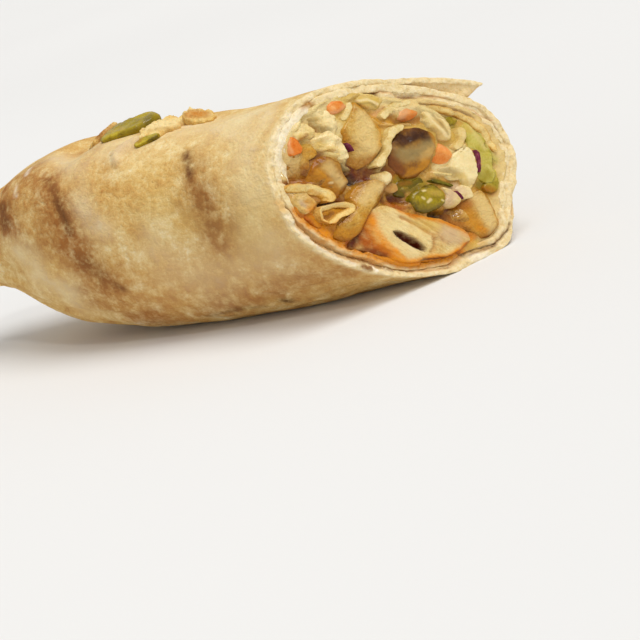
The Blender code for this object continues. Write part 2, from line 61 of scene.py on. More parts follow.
def through(knots_x, knots_y, x, period=None):
    """A cubic through knots: each slope is the mean slope between the knot's neighbours."""
    kx, ky = np.asarray(knots_x, float), np.asarray(knots_y, float)
    if period:
        kx = np.concatenate([kx[-2:] - period, kx, kx[:2] + period])
        ky = np.concatenate([ky[-2:], ky, ky[:2]])
        x = kx[2] + np.mod(x - kx[2], period)
    x = np.clip(x, kx[0], kx[-1])
    slope = np.gradient(ky, kx)
    i = np.clip(np.searchsorted(kx, x, side="right") - 1, 0, len(kx) - 2)
    step = kx[i + 1] - kx[i]
    t = (x - kx[i]) / step
    rise = t * t * (3.0 - 2.0 * t)
    return (ky[i] + (ky[i + 1] - ky[i]) * rise
            + step * (t * (1.0 - t) ** 2 * slope[i] - t * t * (1.0 - t) * slope[i + 1]))


def closed_curve(points, count, angular=0.0):
    """Evenly spread, counter-clockwise points on a closed curve; angular 1 joins them with straight lines."""
    ring = np.asarray(points, float)
    reach = np.cumsum(np.r_[0.0, np.hypot(*(np.roll(ring, -1, 0) - ring).T)])
    at = np.arange(count) / count * reach[-1]
    curve = np.stack([through(reach[:-1], ring[:, k], at, reach[-1]) for k in (0, 1)], -1)
    straight = np.stack([np.interp(at, reach, np.r_[ring[:, k], ring[0, k]]) for k in (0, 1)], -1)
    curve += angular * (straight - curve)
    ahead = np.roll(curve, -1, 0)
    turns_left = np.sum(curve[:, 0] * ahead[:, 1] - curve[:, 1] * ahead[:, 0]) > 0.0
    return curve if turns_left else curve[::-1]


def open_curve(points, count):
    """Evenly spread points along a smooth open curve through the given ones."""
    line = np.asarray(points, float)
    reach = np.r_[0.0, np.cumsum(np.hypot(*np.diff(line, axis=0).T))]
    at = np.linspace(0.0, reach[-1], count)
    return np.stack([through(reach, line[:, k], at) for k in (0, 1)], -1)


# %% [markdown]
# ## Tables of measured places
# The longer tables are plain text, because a row of text is easier to read and to change than
# nested brackets. Words and single numbers come first, then the places, joined by commas.

# %% Read a table
def read_rows(text):
    """One tuple a row: its words and numbers, then all its places; an indented line continues a row."""
    table = []
    for line in text.strip().replace("\n    ", " ").splitlines():
        parts = line.split()
        plain = [float(part) if part[-1].isdigit() else part for part in parts if "," not in part]
        places = tuple(tuple(float(n) for n in part.split(",")) for part in parts if "," in part)
        table.append((*plain, places))
    return table


def read_groups(text):
    """The same rows, gathered under the piece's name, which stands alone on the line before them."""
    groups = {}
    for row in read_rows(text):
        if len(row) == 2:
            group = groups.setdefault(row[0], [])
        else:
            group.append(row)
    return groups


print("a row:", read_rows("gold 0.5 1.3 4,-22.6 10,-23.4")[0])

# %% [markdown]
# ## Uneven surfaces
# Nothing baked is even. A random height at each corner of a grid, eased between the corners, gives
# soft lumps. Lumps of half the size and half the height on top of them give a natural surface.

# %% Lumps worked out for whole arrays of points
def bell(distance, width, power=2):
    """exp(-(distance / width)^power): 1 at no distance, fading to 0 past the width."""
    return np.exp(-(distance / width) ** power)


def quarter_round(share):
    """Height of a rounded edge, sqrt(1 - (1 - share)^2), from 0 at the edge to 1 on top."""
    return np.sqrt(1.0 - (1.0 - np.clip(share, 0.0, 1.0)) ** 2)


def in_space(places, third=0.0):
    """Places in a plane as points in space, which share their third number."""
    return np.concatenate([places, places[..., :1] * 0.0 + third], -1)


def corner_value(i, j, k, seed):
    """A steady random number between -1 and 1 for a grid corner, from its scrambled indices."""
    n = (i * 73856093) ^ (j * 19349663) ^ (k * 83492791) ^ (seed * 2654435)
    n = (n ^ (n >> 13)) * 1274126177 & 0x7FFFFFFF
    n = (n ^ (n >> 16)) * 668265263 & 0x7FFFFFFF
    return (n & 0xFFFF) / 32767.5 - 1.0


def lumps(points, size, seed, octaves=2):
    """Eased values of the eight grid corners around each point, summed over finer and weaker grids."""
    total, weight = 0.0, 1.0
    for octave in range(octaves):
        cell = np.asarray(points, float) / size + 37.7 * (seed + octave)
        low = np.floor(cell).astype(np.int64)
        ease = smooth(cell - low)
        value = 0.0
        for a in (0, 1):
            for b in (0, 1):
                for c in (0, 1):
                    share = (np.abs(1 - a - ease[..., 0]) * np.abs(1 - b - ease[..., 1])
                             * np.abs(1 - c - ease[..., 2]))
                    value = value + share * corner_value(low[..., 0] + a, low[..., 1] + b,
                                                         low[..., 2] + c, seed + octave)
        total, size, weight = total + weight * value, size / 2.0, weight / 2.0
    return total


print("lumps at two places:", lumps(np.array([[0.0, 0.0, 0.0], [3.0, 1.0, 2.0]]), 5.0, 1).round(3))

# %% [markdown]
# ## The roll
# A place in the cut face is (u, v) in millimetres: u across the roll, v up from its middle. The
# roll is described by its radius around that middle: the cut's own outline near the cut, and a
# superellipse with measured widths and heights further back. All layers and fillings are placed
# from this one radius, so they follow each other without touching.

# %% The roll's sizes in millimetres
ORIGIN_X = -50.0             # the part stands on its underside, this far from the cut's middle
CUT_HEIGHT = 27.3            # centre of the cut face above the floor
CUT_SLOPE_U = 0.56           # the cut runs forward towards the far side ...
CUT_SLOPE_V = -0.36          # ... and back towards the top
ROUNDNESS = 2.6              # power of the superellipse that the roll's sections follow
CUT_BLEND = 38.0             # length over which the cut's own outline fades into that section
# x, half width, underside, top
BODY_STATIONS = (
    (-152, 8.0, 23.4, 41.0),
    (-149, 10.4, 21.6, 43.2),
    (-140, 12.4, 20.2, 45.6),
    (-130, 15.2, 17.4, 48.4),
    (-120, 19.8, 11.0, 53.0),
    (-104, 25.2, 4.4, 57.2),
    (-86, 27.6, 0.7, 57.8),
    (-67, 28.4, -0.6, 57.0),
    (-36, 28.8, -0.6, 55.4),
    (18, 29.3, -0.3, 53.9),
)
# angle around the cut face in degrees, radius of the bread's outside there
CUT_OUTLINE = (
    (8, 34.6), (16, 34.4), (24, 32.6), (37, 30.7), (50, 29.9), (64, 29.6), (90, 30.4), (108, 31.9),
    (126, 32.7), (142, 32.8), (160, 32.2), (180, 31.3), (195, 29.8), (216, 27.4), (236, 26.3),
    (252, 26.2), (270, 27.4), (288, 29.0), (304, 31.4), (318, 30.2), (332, 30.5), (348, 33.6),
)

BREAD = 1.7                  # thickness
LAYER_GAP = 0.35             # air between two turns
PITCH = BREAD + LAYER_GAP
TIP_THINNING = 0.55          # share of the thickness left where the roll is twisted shut
OUTER_END = 22.0             # angle of the sheet's outer end, the loose flap
INNER_END = 788.0            # angle of its inner end, two turns further
SEAM_START = 20.0            # the next turn dives under the flap from here ...
SEAM_LENGTH = 45.0           # ... within this angle
EDGE_PAST = 4.0              # past the inner end the filling has one layer more of room: from here ...
EDGE_LENGTH = 14.0           # ... within this angle
FLAP_LIFT = 4.8              # how far the loose end stands off at the cut
FLAP_ANGLE = 40.0            # angle over which it bends away
FLAP_LENGTH = 4.0            # how far back from the cut it is loose
# angle, extra room between the first and second turn at the cut
SECOND_TURN_ROOM = (
    (0, 0.0), (60, 0.0), (110, 0.0), (150, 0.0), (166, 0.3), (180, 1.4), (192, 1.8), (208, 1.6),
    (218, 1.9), (228, 0.8), (238, 0.0), (252, 0.1), (264, 0.6), (280, 1.2), (292, 0.4), (310, 0.0),
)
print("roll length", BODY_STATIONS[-1][0] - BODY_STATIONS[0][0], "mm, bread", BREAD, "mm")

# %% The roll's radius
def body_size(x):
    """Half width, half height and centre height of the roll at x, read from curves."""
    table = np.array(BODY_STATIONS, float).T
    half_width = through(table[0], table[1], x)
    under = through(table[0], table[2], x)
    top = through(table[0], table[3], x)
    return half_width, (top - under) / 2.0, (top + under) / 2.0


def cut_radius(angle):
    """Radius of the bread's outside in the cut face."""
    table = np.radians(np.array(CUT_OUTLINE, float)[:, 0])
    return through(table, [row[1] for row in CUT_OUTLINE], angle, FULL_TURN)


def near_cut(behind):
    """1 in the cut face, easing to 0 at CUT_BLEND behind it."""
    return 1.0 - smooth(behind / CUT_BLEND)


def roll_radius(x, angle, behind):
    """(|cos/a|^p + |sin/b|^p)^(-1/p), mixed with the cut's outline near the cut."""
    a, b, _ = body_size(x)
    plain = (np.abs(np.cos(angle) / a) ** ROUNDNESS
             + np.abs(np.sin(angle) / b) ** ROUNDNESS) ** (-1.0 / ROUNDNESS)
    share = near_cut(behind)
    return share * cut_radius(angle) + (1.0 - share) * plain


def centre_height(x, behind):
    """Height of the roll's middle at x."""
    share = near_cut(behind)
    return share * CUT_HEIGHT + (1.0 - share) * body_size(x)[2]


def cut_x(u, v):
    """The slanted cut: x rises with u and falls with v."""
    return CUT_SLOPE_U * u + CUT_SLOPE_V * v


# %% [markdown]
# ## The sheet's layers
# The sheet is a spiral, but not an even one: each turn lies flat on the one before and dives under
# it in one short seam. So depth is the layer pitch times a stepped count of turns, eased at each
# seam. At the cut the loose outer end bends away, and the second turn stands off at the lower left.

# %% Depth of each layer below the roll's outside
def turns_inside(angle):
    """How many turns lie outside the sheet at this angle along it; -1 on the flap."""
    seams = [math.radians(SEAM_START + 360.0 * k) for k in range(3)]
    return sum(smooth((angle - s) / math.radians(SEAM_LENGTH)) for s in seams) - 1.0


def thinning(x):
    """Share of the thickness left at x, where the roll narrows to its tip."""
    return 1.0 - (1.0 - TIP_THINNING) * smooth((BODY_STATIONS[4][0] - x)
                                               / (BODY_STATIONS[4][0] - BODY_STATIONS[0][0]))


def second_turn_room(angle):
    """Extra room outside the second turn."""
    table = np.array(SECOND_TURN_ROOM, float).T
    return through(np.radians(table[0]), table[1], angle, FULL_TURN)


def sheet_depth(angle, x, behind):
    """Pitch times turns, plus the second turn's room, minus the flap's lift."""
    depth = PITCH * turns_inside(angle) * thinning(x)
    full_turn = (angle > math.radians(SEAM_START + 360.0)) & (angle < math.radians(SEAM_START + 720.0))
    depth = depth + np.where(full_turn, second_turn_room(angle), 0.0) * near_cut(behind)
    bend = np.clip(1.0 - (angle - math.radians(OUTER_END)) / math.radians(FLAP_ANGLE), 0.0, 1.0)
    return depth - FLAP_LIFT * bend ** 1.5 * (1.0 - smooth(behind / FLAP_LENGTH))


def filling_radius(x, angle, behind):
    """Radius of the room left inside the flatbread."""
    turn = np.mod(angle, FULL_TURN)
    seam = smooth((turn - math.radians(SEAM_START)) / math.radians(SEAM_LENGTH))
    past = smooth((turn - math.radians(INNER_END - 720.0 + EDGE_PAST)) / math.radians(EDGE_LENGTH))
    depth = (PITCH * (1.0 + seam - past) + BREAD) * thinning(x)
    return roll_radius(x, angle, behind) - depth - second_turn_room(angle) * near_cut(behind)


def filling_points(u, v, forward):
    """A cut-face place moved forward of the cut, or back into the roll, where the room narrows."""
    behind = np.maximum(-forward, 0.0)
    angle, x = np.arctan2(v, u), cut_x(u, v) + forward
    scale = (filling_radius(x, angle, behind) / filling_radius(cut_x(u, v), angle, 0.0)
             * (1.0 - FILLING_SLACK * smooth(behind / CUT_BLEND)))
    return np.stack([x, u * scale, centre_height(x, behind) + v * scale], -1)


# %% [markdown]
# ## From arrays to meshes
# A surface is a grid of points: rows one way, columns the other. Neighbours in the grid make the
# faces, so whole arrays of indices replace a loop. A grid may close on itself, and where it shrinks
# to a point the doubled points are merged, which closes the pole.

# %% Make a mesh from a grid
def grid_faces(rows, columns, close_rows=False, close_columns=False):
    """Four neighbouring indices per face: (r, c), (r, c+1), (r+1, c+1), (r+1, c)."""
    r = np.arange(rows if close_rows else rows - 1)[:, None]
    c = np.arange(columns if close_columns else columns - 1)[None, :]
    near, far = r * columns, (r + 1) % rows * columns
    ahead = (c + 1) % columns
    return np.stack(np.broadcast_arrays(near + c, near + ahead, far + ahead, far + c), -1).reshape(-1, 4)


def repeat_last(marks, count):
    """Give the rows that close a surface the same numbers as its last one."""
    return {key: np.concatenate([a, np.repeat(a[-1:], count, 0)]) for key, a in marks.items()}


def make_piece(name, points, faces, values=None):
    """A closed mesh: millimetres to metres, poles merged, faces turned outwards, numbers stored."""
    place = (np.reshape(points, (-1, 3)) - (ORIGIN_X, 0.0, 0.0)) * METRES
    mesh = bpy.data.meshes.new(name)
    mesh.from_pydata(place.tolist(), [], faces if isinstance(faces, list) else faces.tolist())
    for key, numbers in (values or {}).items():
        kind, field = ("FLOAT_COLOR", "color") if key == "paint" else ("FLOAT", "value")
        mesh.attributes.new(key, kind, "POINT").data.foreach_set(field, np.ravel(numbers).astype("f"))
    work = bmesh.new()
    work.from_mesh(mesh)
    bmesh.ops.remove_doubles(work, verts=work.verts, dist=1e-7)
    bmesh.ops.dissolve_degenerate(work, edges=work.edges, dist=1e-8)
    if work.calc_volume(signed=True) < 0.0:
        bmesh.ops.reverse_faces(work, faces=work.faces)
    work.to_mesh(mesh)
    work.free()
    mesh.shade_smooth()
    made = bpy.data.objects.new(name, mesh)
    bpy.context.scene.collection.objects.link(made)
    return made


# %% [markdown]
# ## Materials from nodes
# Every surface is one Principled shader. Small helpers add a node and link it. Colours are written
# as sRGB codes, as a painter would read them, and one function turns them into light.

# %% Colour, node and material helpers
def colour(code):
    """sRGB hex to linear light, channel by channel."""
    parts = [int(code[k:k + 2], 16) / 255.0 for k in (1, 3, 5)]
    return [p / 12.92 if p <= 0.04045 else ((p + 0.055) / 1.055) ** 2.4 for p in parts] + [1.0]


def add(tree, kind, settings=None, **links):
    """Add a node, set its properties, then set or link its inputs by name or number."""
    node = tree.nodes.new("ShaderNode" + kind)
    for key, value in (settings or {}).items():
        setattr(node, key, value)
    for key, value in links.items():
        socket = node.inputs[int(key[1:]) if key[1:].isdigit() else key.replace("_", " ")]
        if isinstance(value, bpy.types.NodeSocket):
            tree.links.new(value, socket)
        else:
            socket.default_value = value
    return node


def new_material(name, **sockets):
    """A material with its Principled shader's constant sockets set."""
    made = bpy.data.materials.new(name)
    made.use_nodes = True
    shader = made.node_tree.nodes["Principled BSDF"]
    for key, value in sockets.items():
        shader.inputs[key.replace("_", " ")].default_value = value
    return made, made.node_tree, shader


def ramp(tree, factor, *stops):
    """Colours at places along 0 to 1, mixed evenly between."""
    node = tree.nodes.new("ShaderNodeValToRGB")
    tree.links.new(factor, node.inputs["Fac"])
    while len(node.color_ramp.elements) < len(stops):
        node.color_ramp.elements.new(1.0)
    for element, (place, code) in zip(node.color_ramp.elements, stops):
        element.position, element.color = place, colour(code)
    return node.outputs["Color"]


def noise(tree, size_mm, detail=3.0, stretch=(1.0, 1.0, 1.0)):
    """Cloudy grey on Object coordinates, with lumps of a real size in millimetres."""
    place = add(tree, "TexCoord").outputs["Object"]
    scaled = add(tree, "Mapping", Vector=place, Scale=[s / (size_mm * METRES) for s in stretch])
    return add(tree, "TexNoise", Vector=scaled.outputs[0], Scale=1.0, Detail=detail).outputs["Fac"]


def sums(tree, *terms):
    """Sum of (socket, weight) terms and plain numbers."""
    total = 0.0
    for term in terms:
        socket, weight = term if isinstance(term, tuple) else (term, None)
        if weight is None:
            total = add(tree, "Math", {"operation": "ADD"}, _0=total, _1=socket).outputs[0]
        else:
            total = add(tree, "Math", {"operation": "MULTIPLY_ADD"}, _0=socket, _1=weight,
                        _2=total).outputs[0]
    return total


def value_of(tree, name):
    """A number stored on the mesh."""
    return add(tree, "Attribute", {"attribute_name": name}).outputs["Fac"]


def blend(tree, factor, low, high, mode="MIX"):
    """Mix two colours by a factor."""
    node = add(tree, "Mix", {"data_type": "RGBA", "blend_type": mode}, _0=factor, _6=low, _7=high)
    return node.outputs[2]


def painted(tree, under, uneven):
    """Lay the mesh's paint over a colour: its share times the given noise plus 0.5, so that its edges break
    up.
    """
    paint_on = add(tree, "Attribute", {"attribute_name": "paint"})
    share = add(tree, "Math", {"operation": "MULTIPLY", "use_clamp": True}, _0=paint_on.outputs["Alpha"],
                _1=sums(tree, (uneven, 1.0), 0.5)).outputs[0]
    return blend(tree, share, under, paint_on.outputs["Color"])


def bumps(tree, shader, *layers):
    """Stack bumps, each of a (height, depth in millimetres), into the shader's normal."""
    normal = None
    for height, depth_mm in layers:
        node = add(tree, "Bump", Strength=1.0, Distance=depth_mm * METRES, Height=height)
        if normal:
            tree.links.new(normal, node.inputs["Normal"])
        normal = node.outputs["Normal"]
    tree.links.new(normal, shader.inputs["Normal"])


def dress(piece, slot, finish, *nodes):
    """Give a piece its material, its body and the solids that it stands for; slot is not used."""
    piece.data.materials.append(finish)
    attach(piece, "root")
    if nodes:
        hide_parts(*nodes)
    print(piece.name, len(piece.data.polygons), "faces")
    return piece


# %% [markdown]
# ## Colour laid on in strokes
# Grill marks, marinade and browned edges aren't the same all over, and a pattern can't know where
# they are. So each one is a stroke of a pigment along a line of places: full near the line, fading
# at its width, its border made uneven by lumps. Strokes lie over each other as paint does, and the
# result is stored on the mesh as a colour and a share. The word light lifts the food's own tone
# instead.

# %% Pigments
# the near-black pigment serves for char, and in holes and gaps for painted shade
# the palest pigment serves for white food, and in thin strokes for painted highlights
PIGMENTS = {
    "milk": "#f7edd6", "cream": "#eadfbf", "crumb": "#ecd9b0", "straw": "#dcc070", "beige": "#cfb07a",
    "tan": "#c6945c", "gold": "#cf9420", "amber": "#a96a06", "toffee": "#7c4506", "umber": "#4a2806",
    "soot": "#200a02", "paprika": "#dd8e16", "rust": "#a85406", "ember": "#6a2e04", "olive": "#94860c",
    "moss": "#6a6008", "leaf": "#c4c66e", "blush": "#e9b799", "mauve": "#d9c3b8", "plum": "#5c1244",
    "ash": "#9c8a66", "toast": "#a0662c", "char": "#643a1a", "flour": "#ead8ac",
    "burnt": "#561a02", "saffron": "#f2a11c",
}


def distance_to(points, line):
    """Shortest distance from each point to a line of straight pieces, or to a single place."""
    line = np.asarray(line, float)
    if len(line) == 1:
        return np.linalg.norm(points - line[0], axis=-1)
    nearest = None
    for start, end in zip(line[:-1], line[1:]):
        along = end - start
        share = np.clip(((points - start) @ along) / (along @ along), 0.0, 1.0)
        gap = np.linalg.norm(points - start - share[..., None] * along, axis=-1)
        nearest = gap if nearest is None else np.minimum(nearest, gap)
    return nearest


def lay(points, stroke, ragged=0.3, size=1.4, fall=3.0):
    """One stroke: amount * exp(-(distance / width)^fall), its border uneven."""
    _, amount, width, line = stroke
    uneven = lumps(in_space(points), size, 5)
    gap = np.maximum(distance_to(points, line) + ragged * width * uneven, 0.0)
    return amount * bell(gap, width, fall)


def paint(points, strokes, ragged=0.3, size=1.4, fall=3.0):
    """Stroke over stroke: colour = (1 - a) colour + a pigment; the share is kept in the fourth number."""
    mixed = np.zeros((*points.shape[:-1], 4))
    for stroke in strokes:
        if stroke[0] in PIGMENTS:
            share = lay(points, stroke, ragged, size, fall)[..., None]
            mixed = mixed * (1.0 - share) + share * colour(PIGMENTS[stroke[0]])
    return np.concatenate([mixed[..., :3] / np.maximum(mixed[..., 3:], 1e-6), mixed[..., 3:]], -1)


def lay_over(below, above):
    """One paint over another: its share hides as much of the first, and the colours mix by their shares."""
    under, over = below[..., 3:] * (1.0 - above[..., 3:]), above[..., 3:]
    mixed = (below[..., :3] * under + above[..., :3] * over) / np.maximum(under + over, 1e-6)
    return np.concatenate([mixed, under + over], -1)


print(len(PIGMENTS), "pigments")

# %% [markdown]
# ## The flatbread
# On the real wrap this is one soft sheet, about 1.7 mm thick, rolled around the filling and twisted
# shut. It could be modelled by rolling a flat sheet with cloth simulation, but the photo fixes where
# each layer lies, so the spiral is computed. One grid runs along the outer face to the cut, over the
# lip and back along the inner face, for every angle along the sheet.

# %% Measures and strokes of the sheet
MEAN_RADIUS = 29.0           # of the roll, where a pattern is laid around it
DIP_DEPTH = 3.4              # the roll sank beside its torn top by this much ...
DIP_PLACE = (-95.5, 97.0)    # ... around this x and angle in degrees ...
DIP_REACH = (6.0, 24.0)      # ... and so far to either side
CREASED_AT = 226.0           # degrees around the roll where it rested and creased most
CREASED_REACH = 0.4          # radians to either side
TAIL_START = -98.0           # from this x towards the tip the sheet is twisted into pleats ...
TAIL_LENGTH = 45.0           # ... which are full height after this length
PLEATS, PLEAT_TWIST, PLEAT_HEIGHT = 9.0, 0.1, 0.8
SWELLINGS = ((0.34, 17.0, 11), (0.1, 4.5, 12))      # height, size and seed of the soft lumps
CREASE_SIZE = 4.6
CREASE_HEIGHTS = (0.16, 0.8, 0.4)    # everywhere, what the underside adds, and what the tail adds
SMOOTH_LIP = 9.0                     # length behind the cut within which the sheet lies smooth
RIM_HEIGHT, RIM_WIDTH = 1.6, 1.3     # of the curled edge of the tear
# pigment, amount, width, line of (x, degrees around the roll); the two thin white strokes at x -110 to -113
# are painted highlights
BREAD_STROKES = read_rows("""
flour 0.6 4 -86,150 -84,160 -80,163
flour 0.6 6 -116,176 -112,184 -108,196 -100,204
flour 0.45 7 -36,110 -31,130 -27,152
flour 0.4 8 -26,178 -32,192 -50,198
flour 0.5 4 -104,106 -98,114 -92,124
flour 0.35 5 -62,168 -66,186
flour 0.4 7 -92,112 -60,108 -30,106
tan 0.35 12 -75,202 -45,197 -18,198
straw 0.25 9 -60,150 -36,172 -20,160
crumb 0.7 1.3 -74,127 -74.8,121 -73,114.5 -69,108.5 -64,103
crumb 0.6 3 -64,103 -60,100 -54,99
toast 0.5 8 -108,118 -101,134 -99,152 -101,166
toast 0.7 5 -97,130 -95,146 -91,160 -90,176
char 0.5 2 -99,130 -96,138 -93,150 -91.5,161
soot 0.4 1.1 -95,145 -92.5,155 -92,164
toast 0.6 8 -90,176 -88,188 -84,199
char 0.4 3 -89,182 -86,190
char 0.5 1.2 -82,197 -80,200
toast 0.55 5 -94,206 -86,218 -80,226
toast 0.7 6 -47,148 -43,156 -41,167 -43,178
char 0.2 5 -46,150 -43,162
char 0.9 1.6 -50.5,130 -49,136 -48,142
toast 0.85 7 -120,116 -117,134 -118,152
char 0.6 3 -119,140 -119,150
milk 0.7 0.6 -110.5,112 -110,120
milk 0.7 0.6 -113.4,126 -112.4,135
amber 0.3 4 -66,108 -72,116 -77,128 -76,138
toast 0.35 3 -96,96 -90,106 -86,112
umber 0.6 0.7 -91,104 -88,107
toast 0.5 6 -78,228 -60,224 -40,216
toast 0.4 5 -36,212 -12,212
umber 0.85 1.1 -34.5,224 -32.5,225.5
umber 0.4 1 -60,226 -48,224 -40,225
toast 0.6 9 -60,300 -80,290 -100,305
char 0.4 3 -70,296 -78,292
toast 0.6 7 -30,20 -52,32 -70,26
char 0.6 1.8 -66,40 -64,48
toast 0.6 8 -84,350 -96,340 -112,352
char 0.5 2.6 -88,330 -92,340
toast 0.5 9 -20,330 -34,320 -44,338
toast 0.5 8 -100,60 -112,50 -118,30
""")
# the first crumb stroke is the curled rim of the tear in the sheet's top
TORN_RIM = next(line for pigment, *_, line in BREAD_STROKES if pigment == "crumb")


print(len(BREAD_STROKES), "strokes on the bread, the tear's rim from", TORN_RIM[0], "to", TORN_RIM[-1])

# %% Swellings, creases, pleats and the torn rim
def around(x, angle):
    """A place on a roll of even radius, so that a pattern on it meets itself after a full turn."""
    return np.stack(np.broadcast_arrays(x, MEAN_RADIUS * np.cos(angle), MEAN_RADIUS * np.sin(angle)), -1)


def torn_dip(x, angle):
    """The roll sank beside its torn top: depth * exp(-(share of the reach along x and around)^2)."""
    turn = np.mod(np.degrees(angle), 360.0)
    return DIP_DEPTH * np.exp(-((x - DIP_PLACE[0]) / DIP_REACH[0]) ** 2
                              - ((turn - DIP_PLACE[1]) / DIP_REACH[1]) ** 2)


def torn_rim(x, angle):
    """The torn edge curls up: height * exp(-(distance / width)^2), ragged along its length."""
    line = [(at, MEAN_RADIUS * math.radians(turn)) for at, turn in TORN_RIM]
    places = np.stack(np.broadcast_arrays(x, MEAN_RADIUS * angle), -1)
    ragged = 1.0 + 0.5 * lumps(around(x, angle), 1.8, 15)
    return RIM_HEIGHT * ragged * bell(distance_to(places, line), RIM_WIDTH)


def unevenness(x, angle, behind):
    """Soft swellings, lengthwise creases, and pleats that twist with x towards the tip."""
    place = around(x, angle)
    soft = sum(height * lumps(place, size, seed) for height, size, seed in SWELLINGS)
    crease = 0.5 - np.abs(lumps(place * (0.3, 1.0, 1.0), CREASE_SIZE, 13))
    under = bell(np.mod(angle, FULL_TURN) - math.radians(CREASED_AT), CREASED_REACH)
    tail = smooth((TAIL_START - x) / TAIL_LENGTH)
    pleats = np.sin(PLEATS * angle + PLEAT_TWIST * x + 1.6 * lumps(place, 14.0, 14, 1))
    everywhere, on_underside, on_tail = CREASE_HEIGHTS
    return ((soft + crease * (everywhere + on_underside * under + on_tail * tail))
            * smooth(behind / SMOOTH_LIP)
            + PLEAT_HEIGHT * tail * pleats - torn_dip(x, angle) + torn_rim(x, angle))


# %% The sheet's lip and layers
LIP_RAGGED = 0.5             # how far the cut edge wavers
LIP_BULGE = 0.25             # how far the soft crumb stands out of the cut
LIP_LAYERS = (0.0, 0.05, 0.15, 0.28, 0.42, 0.56, 0.7, 0.83, 0.94, 1.0)
EDGE_THICKNESS = 0.4         # share of the thickness left at the sheet's two long edges
# where the second turn lies in a way of its own, from and to in degrees around the roll
STANDS_BACK = (172.0, 292.0)             # it stands back from the cut ...
STANDS_BACK_BY = 0.6                     # ... by this much
ONE_BAND = ((18.0, 163.0), (300.0, 350.0))   # it and the first turn are one soft band
THICK_FOLD = (141.0, 166.0, 6.0)         # it is folded thick, easing within the last number ...
THICK_FOLD_BY = 1.9                      # ... by this much
RAGGED_LEFT = (176.0, 238.0)             # the edge of both turns is most ragged
PRESSED_FROM, PRESSED_WITHIN = 0.5, 1.2  # how far behind the lip the turns are pressed together
# where layers part in the cut face, sunk and painted with shade: depth, width, places
PARTINGS = read_rows("""
0.4 0.35 9.6,24.2 11.6,22.9 13.4,21.2
0.9 0.5 13.4,21.2 15,19.9 17.6,18.9
0.3 0.35 17.6,18.9 20,18 22.4,17 25,15.4
0.6 0.28 17.4,16.8 21,14.8 24,12.8 27,9.9 29.2,7.2
0.5 0.3 28.2,11.4 30,9 31,7 32.6,4.8
0.9 0.4 3,-24.3 8,-25.1 12,-25.6 16,-24.4 20,-22.4
0.5 0.26 -12.4,-21.2 -7,-23.8 -2,-25.4 3,-24.3
0.5 0.3 21.6,-20.2 24.4,-17.4
0.8 0.4 -27,13.2 -25.4,12 -22.8,12.2
0.4 0.3 26.8,3 27,-2 26,-7
""")


print(len(PARTINGS), "partings between the layers")

# %% Where each point of the sheet lies
def window(angle, start, end, ease=8.0):
    """1 between two angles around the roll, in degrees, easing to 0 outside them."""
    turn = np.mod(np.degrees(angle) - start + ease, 360.0) - ease
    return smooth((turn + ease) / ease) * smooth((end - start + ease - turn) / ease)


def parted(places):
    """How deep the partings between layers lie at places in the cut face."""
    return sum(depth * bell(distance_to(places, line), width) for depth, width, line in PARTINGS)


def sheet_points(angle, station, layer):
    """x from the station, radius = roll radius - depth + unevenness; layer 0 outside, 1 inside."""
    turn_two = angle > math.radians(SEAM_START + 360.0)
    at_cut = cut_radius(angle) - sheet_depth(angle, 0.0, 0.0) - layer * BREAD
    u, v = at_cut * np.cos(angle), at_cut * np.sin(angle)
    edge = np.stack(np.broadcast_arrays(u, v, angle), -1)
    bulge = LIP_BULGE * np.sin(math.pi * layer) ** 0.5 * (station == 0.0)
    ragged = lumps(edge, 3.4, 21, 1) + 0.8 * lumps(edge, 1.0, 23, 1)
    recess = (STANDS_BACK_BY * turn_two * window(angle, *STANDS_BACK)
              + parted(edge[..., :2]) * (station == 0.0))
    front = cut_x(u, v) - LIP_RAGGED * (1.0 - ragged) + bulge - recess
    x = front - CUT_BLEND * np.minimum(station, 1.0)
    x = x + (BODY_STATIONS[0][0] - x) * np.maximum(station - 1.0, 0.0)
    behind = front - x
    depth = sheet_depth(angle, x, behind) + layer * BREAD * thinning(x)
    # behind the lip the first turn is pressed on to the second, and above they are one soft band
    gap = LAYER_GAP + second_turn_room(angle) * near_cut(behind)
    pressed = smooth((behind - PRESSED_FROM) / PRESSED_WITHIN)
    depth = depth + np.where(turn_two | (layer < 0.5), 0.0, (gap + 0.1) * pressed)
    band = sum(window(angle, *ends) for ends in ONE_BAND)
    depth = depth - np.where(turn_two & (layer < 0.5), (LAYER_GAP + 0.2) * band, 0.0)
    depth = depth + np.where(turn_two & (layer > 0.5), THICK_FOLD_BY * window(angle, *THICK_FOLD), 0.0)
    radius = roll_radius(x, angle, behind) - depth + unevenness(x, angle, behind)
    left = window(angle, *RAGGED_LEFT)
    lace = 0.16 * lumps(edge, 1.4, 22, 1) + (0.3 + 0.6 * left) * (layer - 0.2) * lumps(edge, 0.9, 24)
    radius = radius + lace * bell(behind, 1.5)
    z = centre_height(x, behind) + radius * np.sin(angle)
    return np.stack([x, radius * np.cos(angle), np.maximum(z, depth)], -1), behind


# %% Work out the sheet's grid
# It is fine in the turn that shows and near the cut, and the hidden inner face keeps fewer rows.
SHOWN_COLUMNS, HIDDEN_COLUMNS, SHOWN_END = 430, 250, 380.0
NEAR_ROWS, FAR_ROWS, LIP_ROWS = 46, 77, 20
first = np.linspace(OUTER_END + 1.2, SHOWN_END, SHOWN_COLUMNS)
second = np.linspace(SHOWN_END + 2.0, INNER_END - 1.2, HIDDEN_COLUMNS)
angle = np.radians(np.r_[OUTER_END, OUTER_END + 0.4, first, second, INNER_END - 0.4, INNER_END])[None, :]
near_end = MEAN_RADIUS * np.minimum(angle - angle[0, 0], angle[0, -1] - angle)
thickness = EDGE_THICKNESS + (1.0 - EDGE_THICKNESS) * quarter_round(near_end / (BREAD / 2.0))
outer = np.r_[np.linspace(0.0, 1.0, NEAR_ROWS) ** 1.5, np.linspace(1.0, 2.0, FAR_ROWS)[1:]]
kept = np.r_[np.arange(0, LIP_ROWS, 2), np.arange(LIP_ROWS, len(outer), 4), len(outer) - 1]
inner = outer[np.unique(kept)]
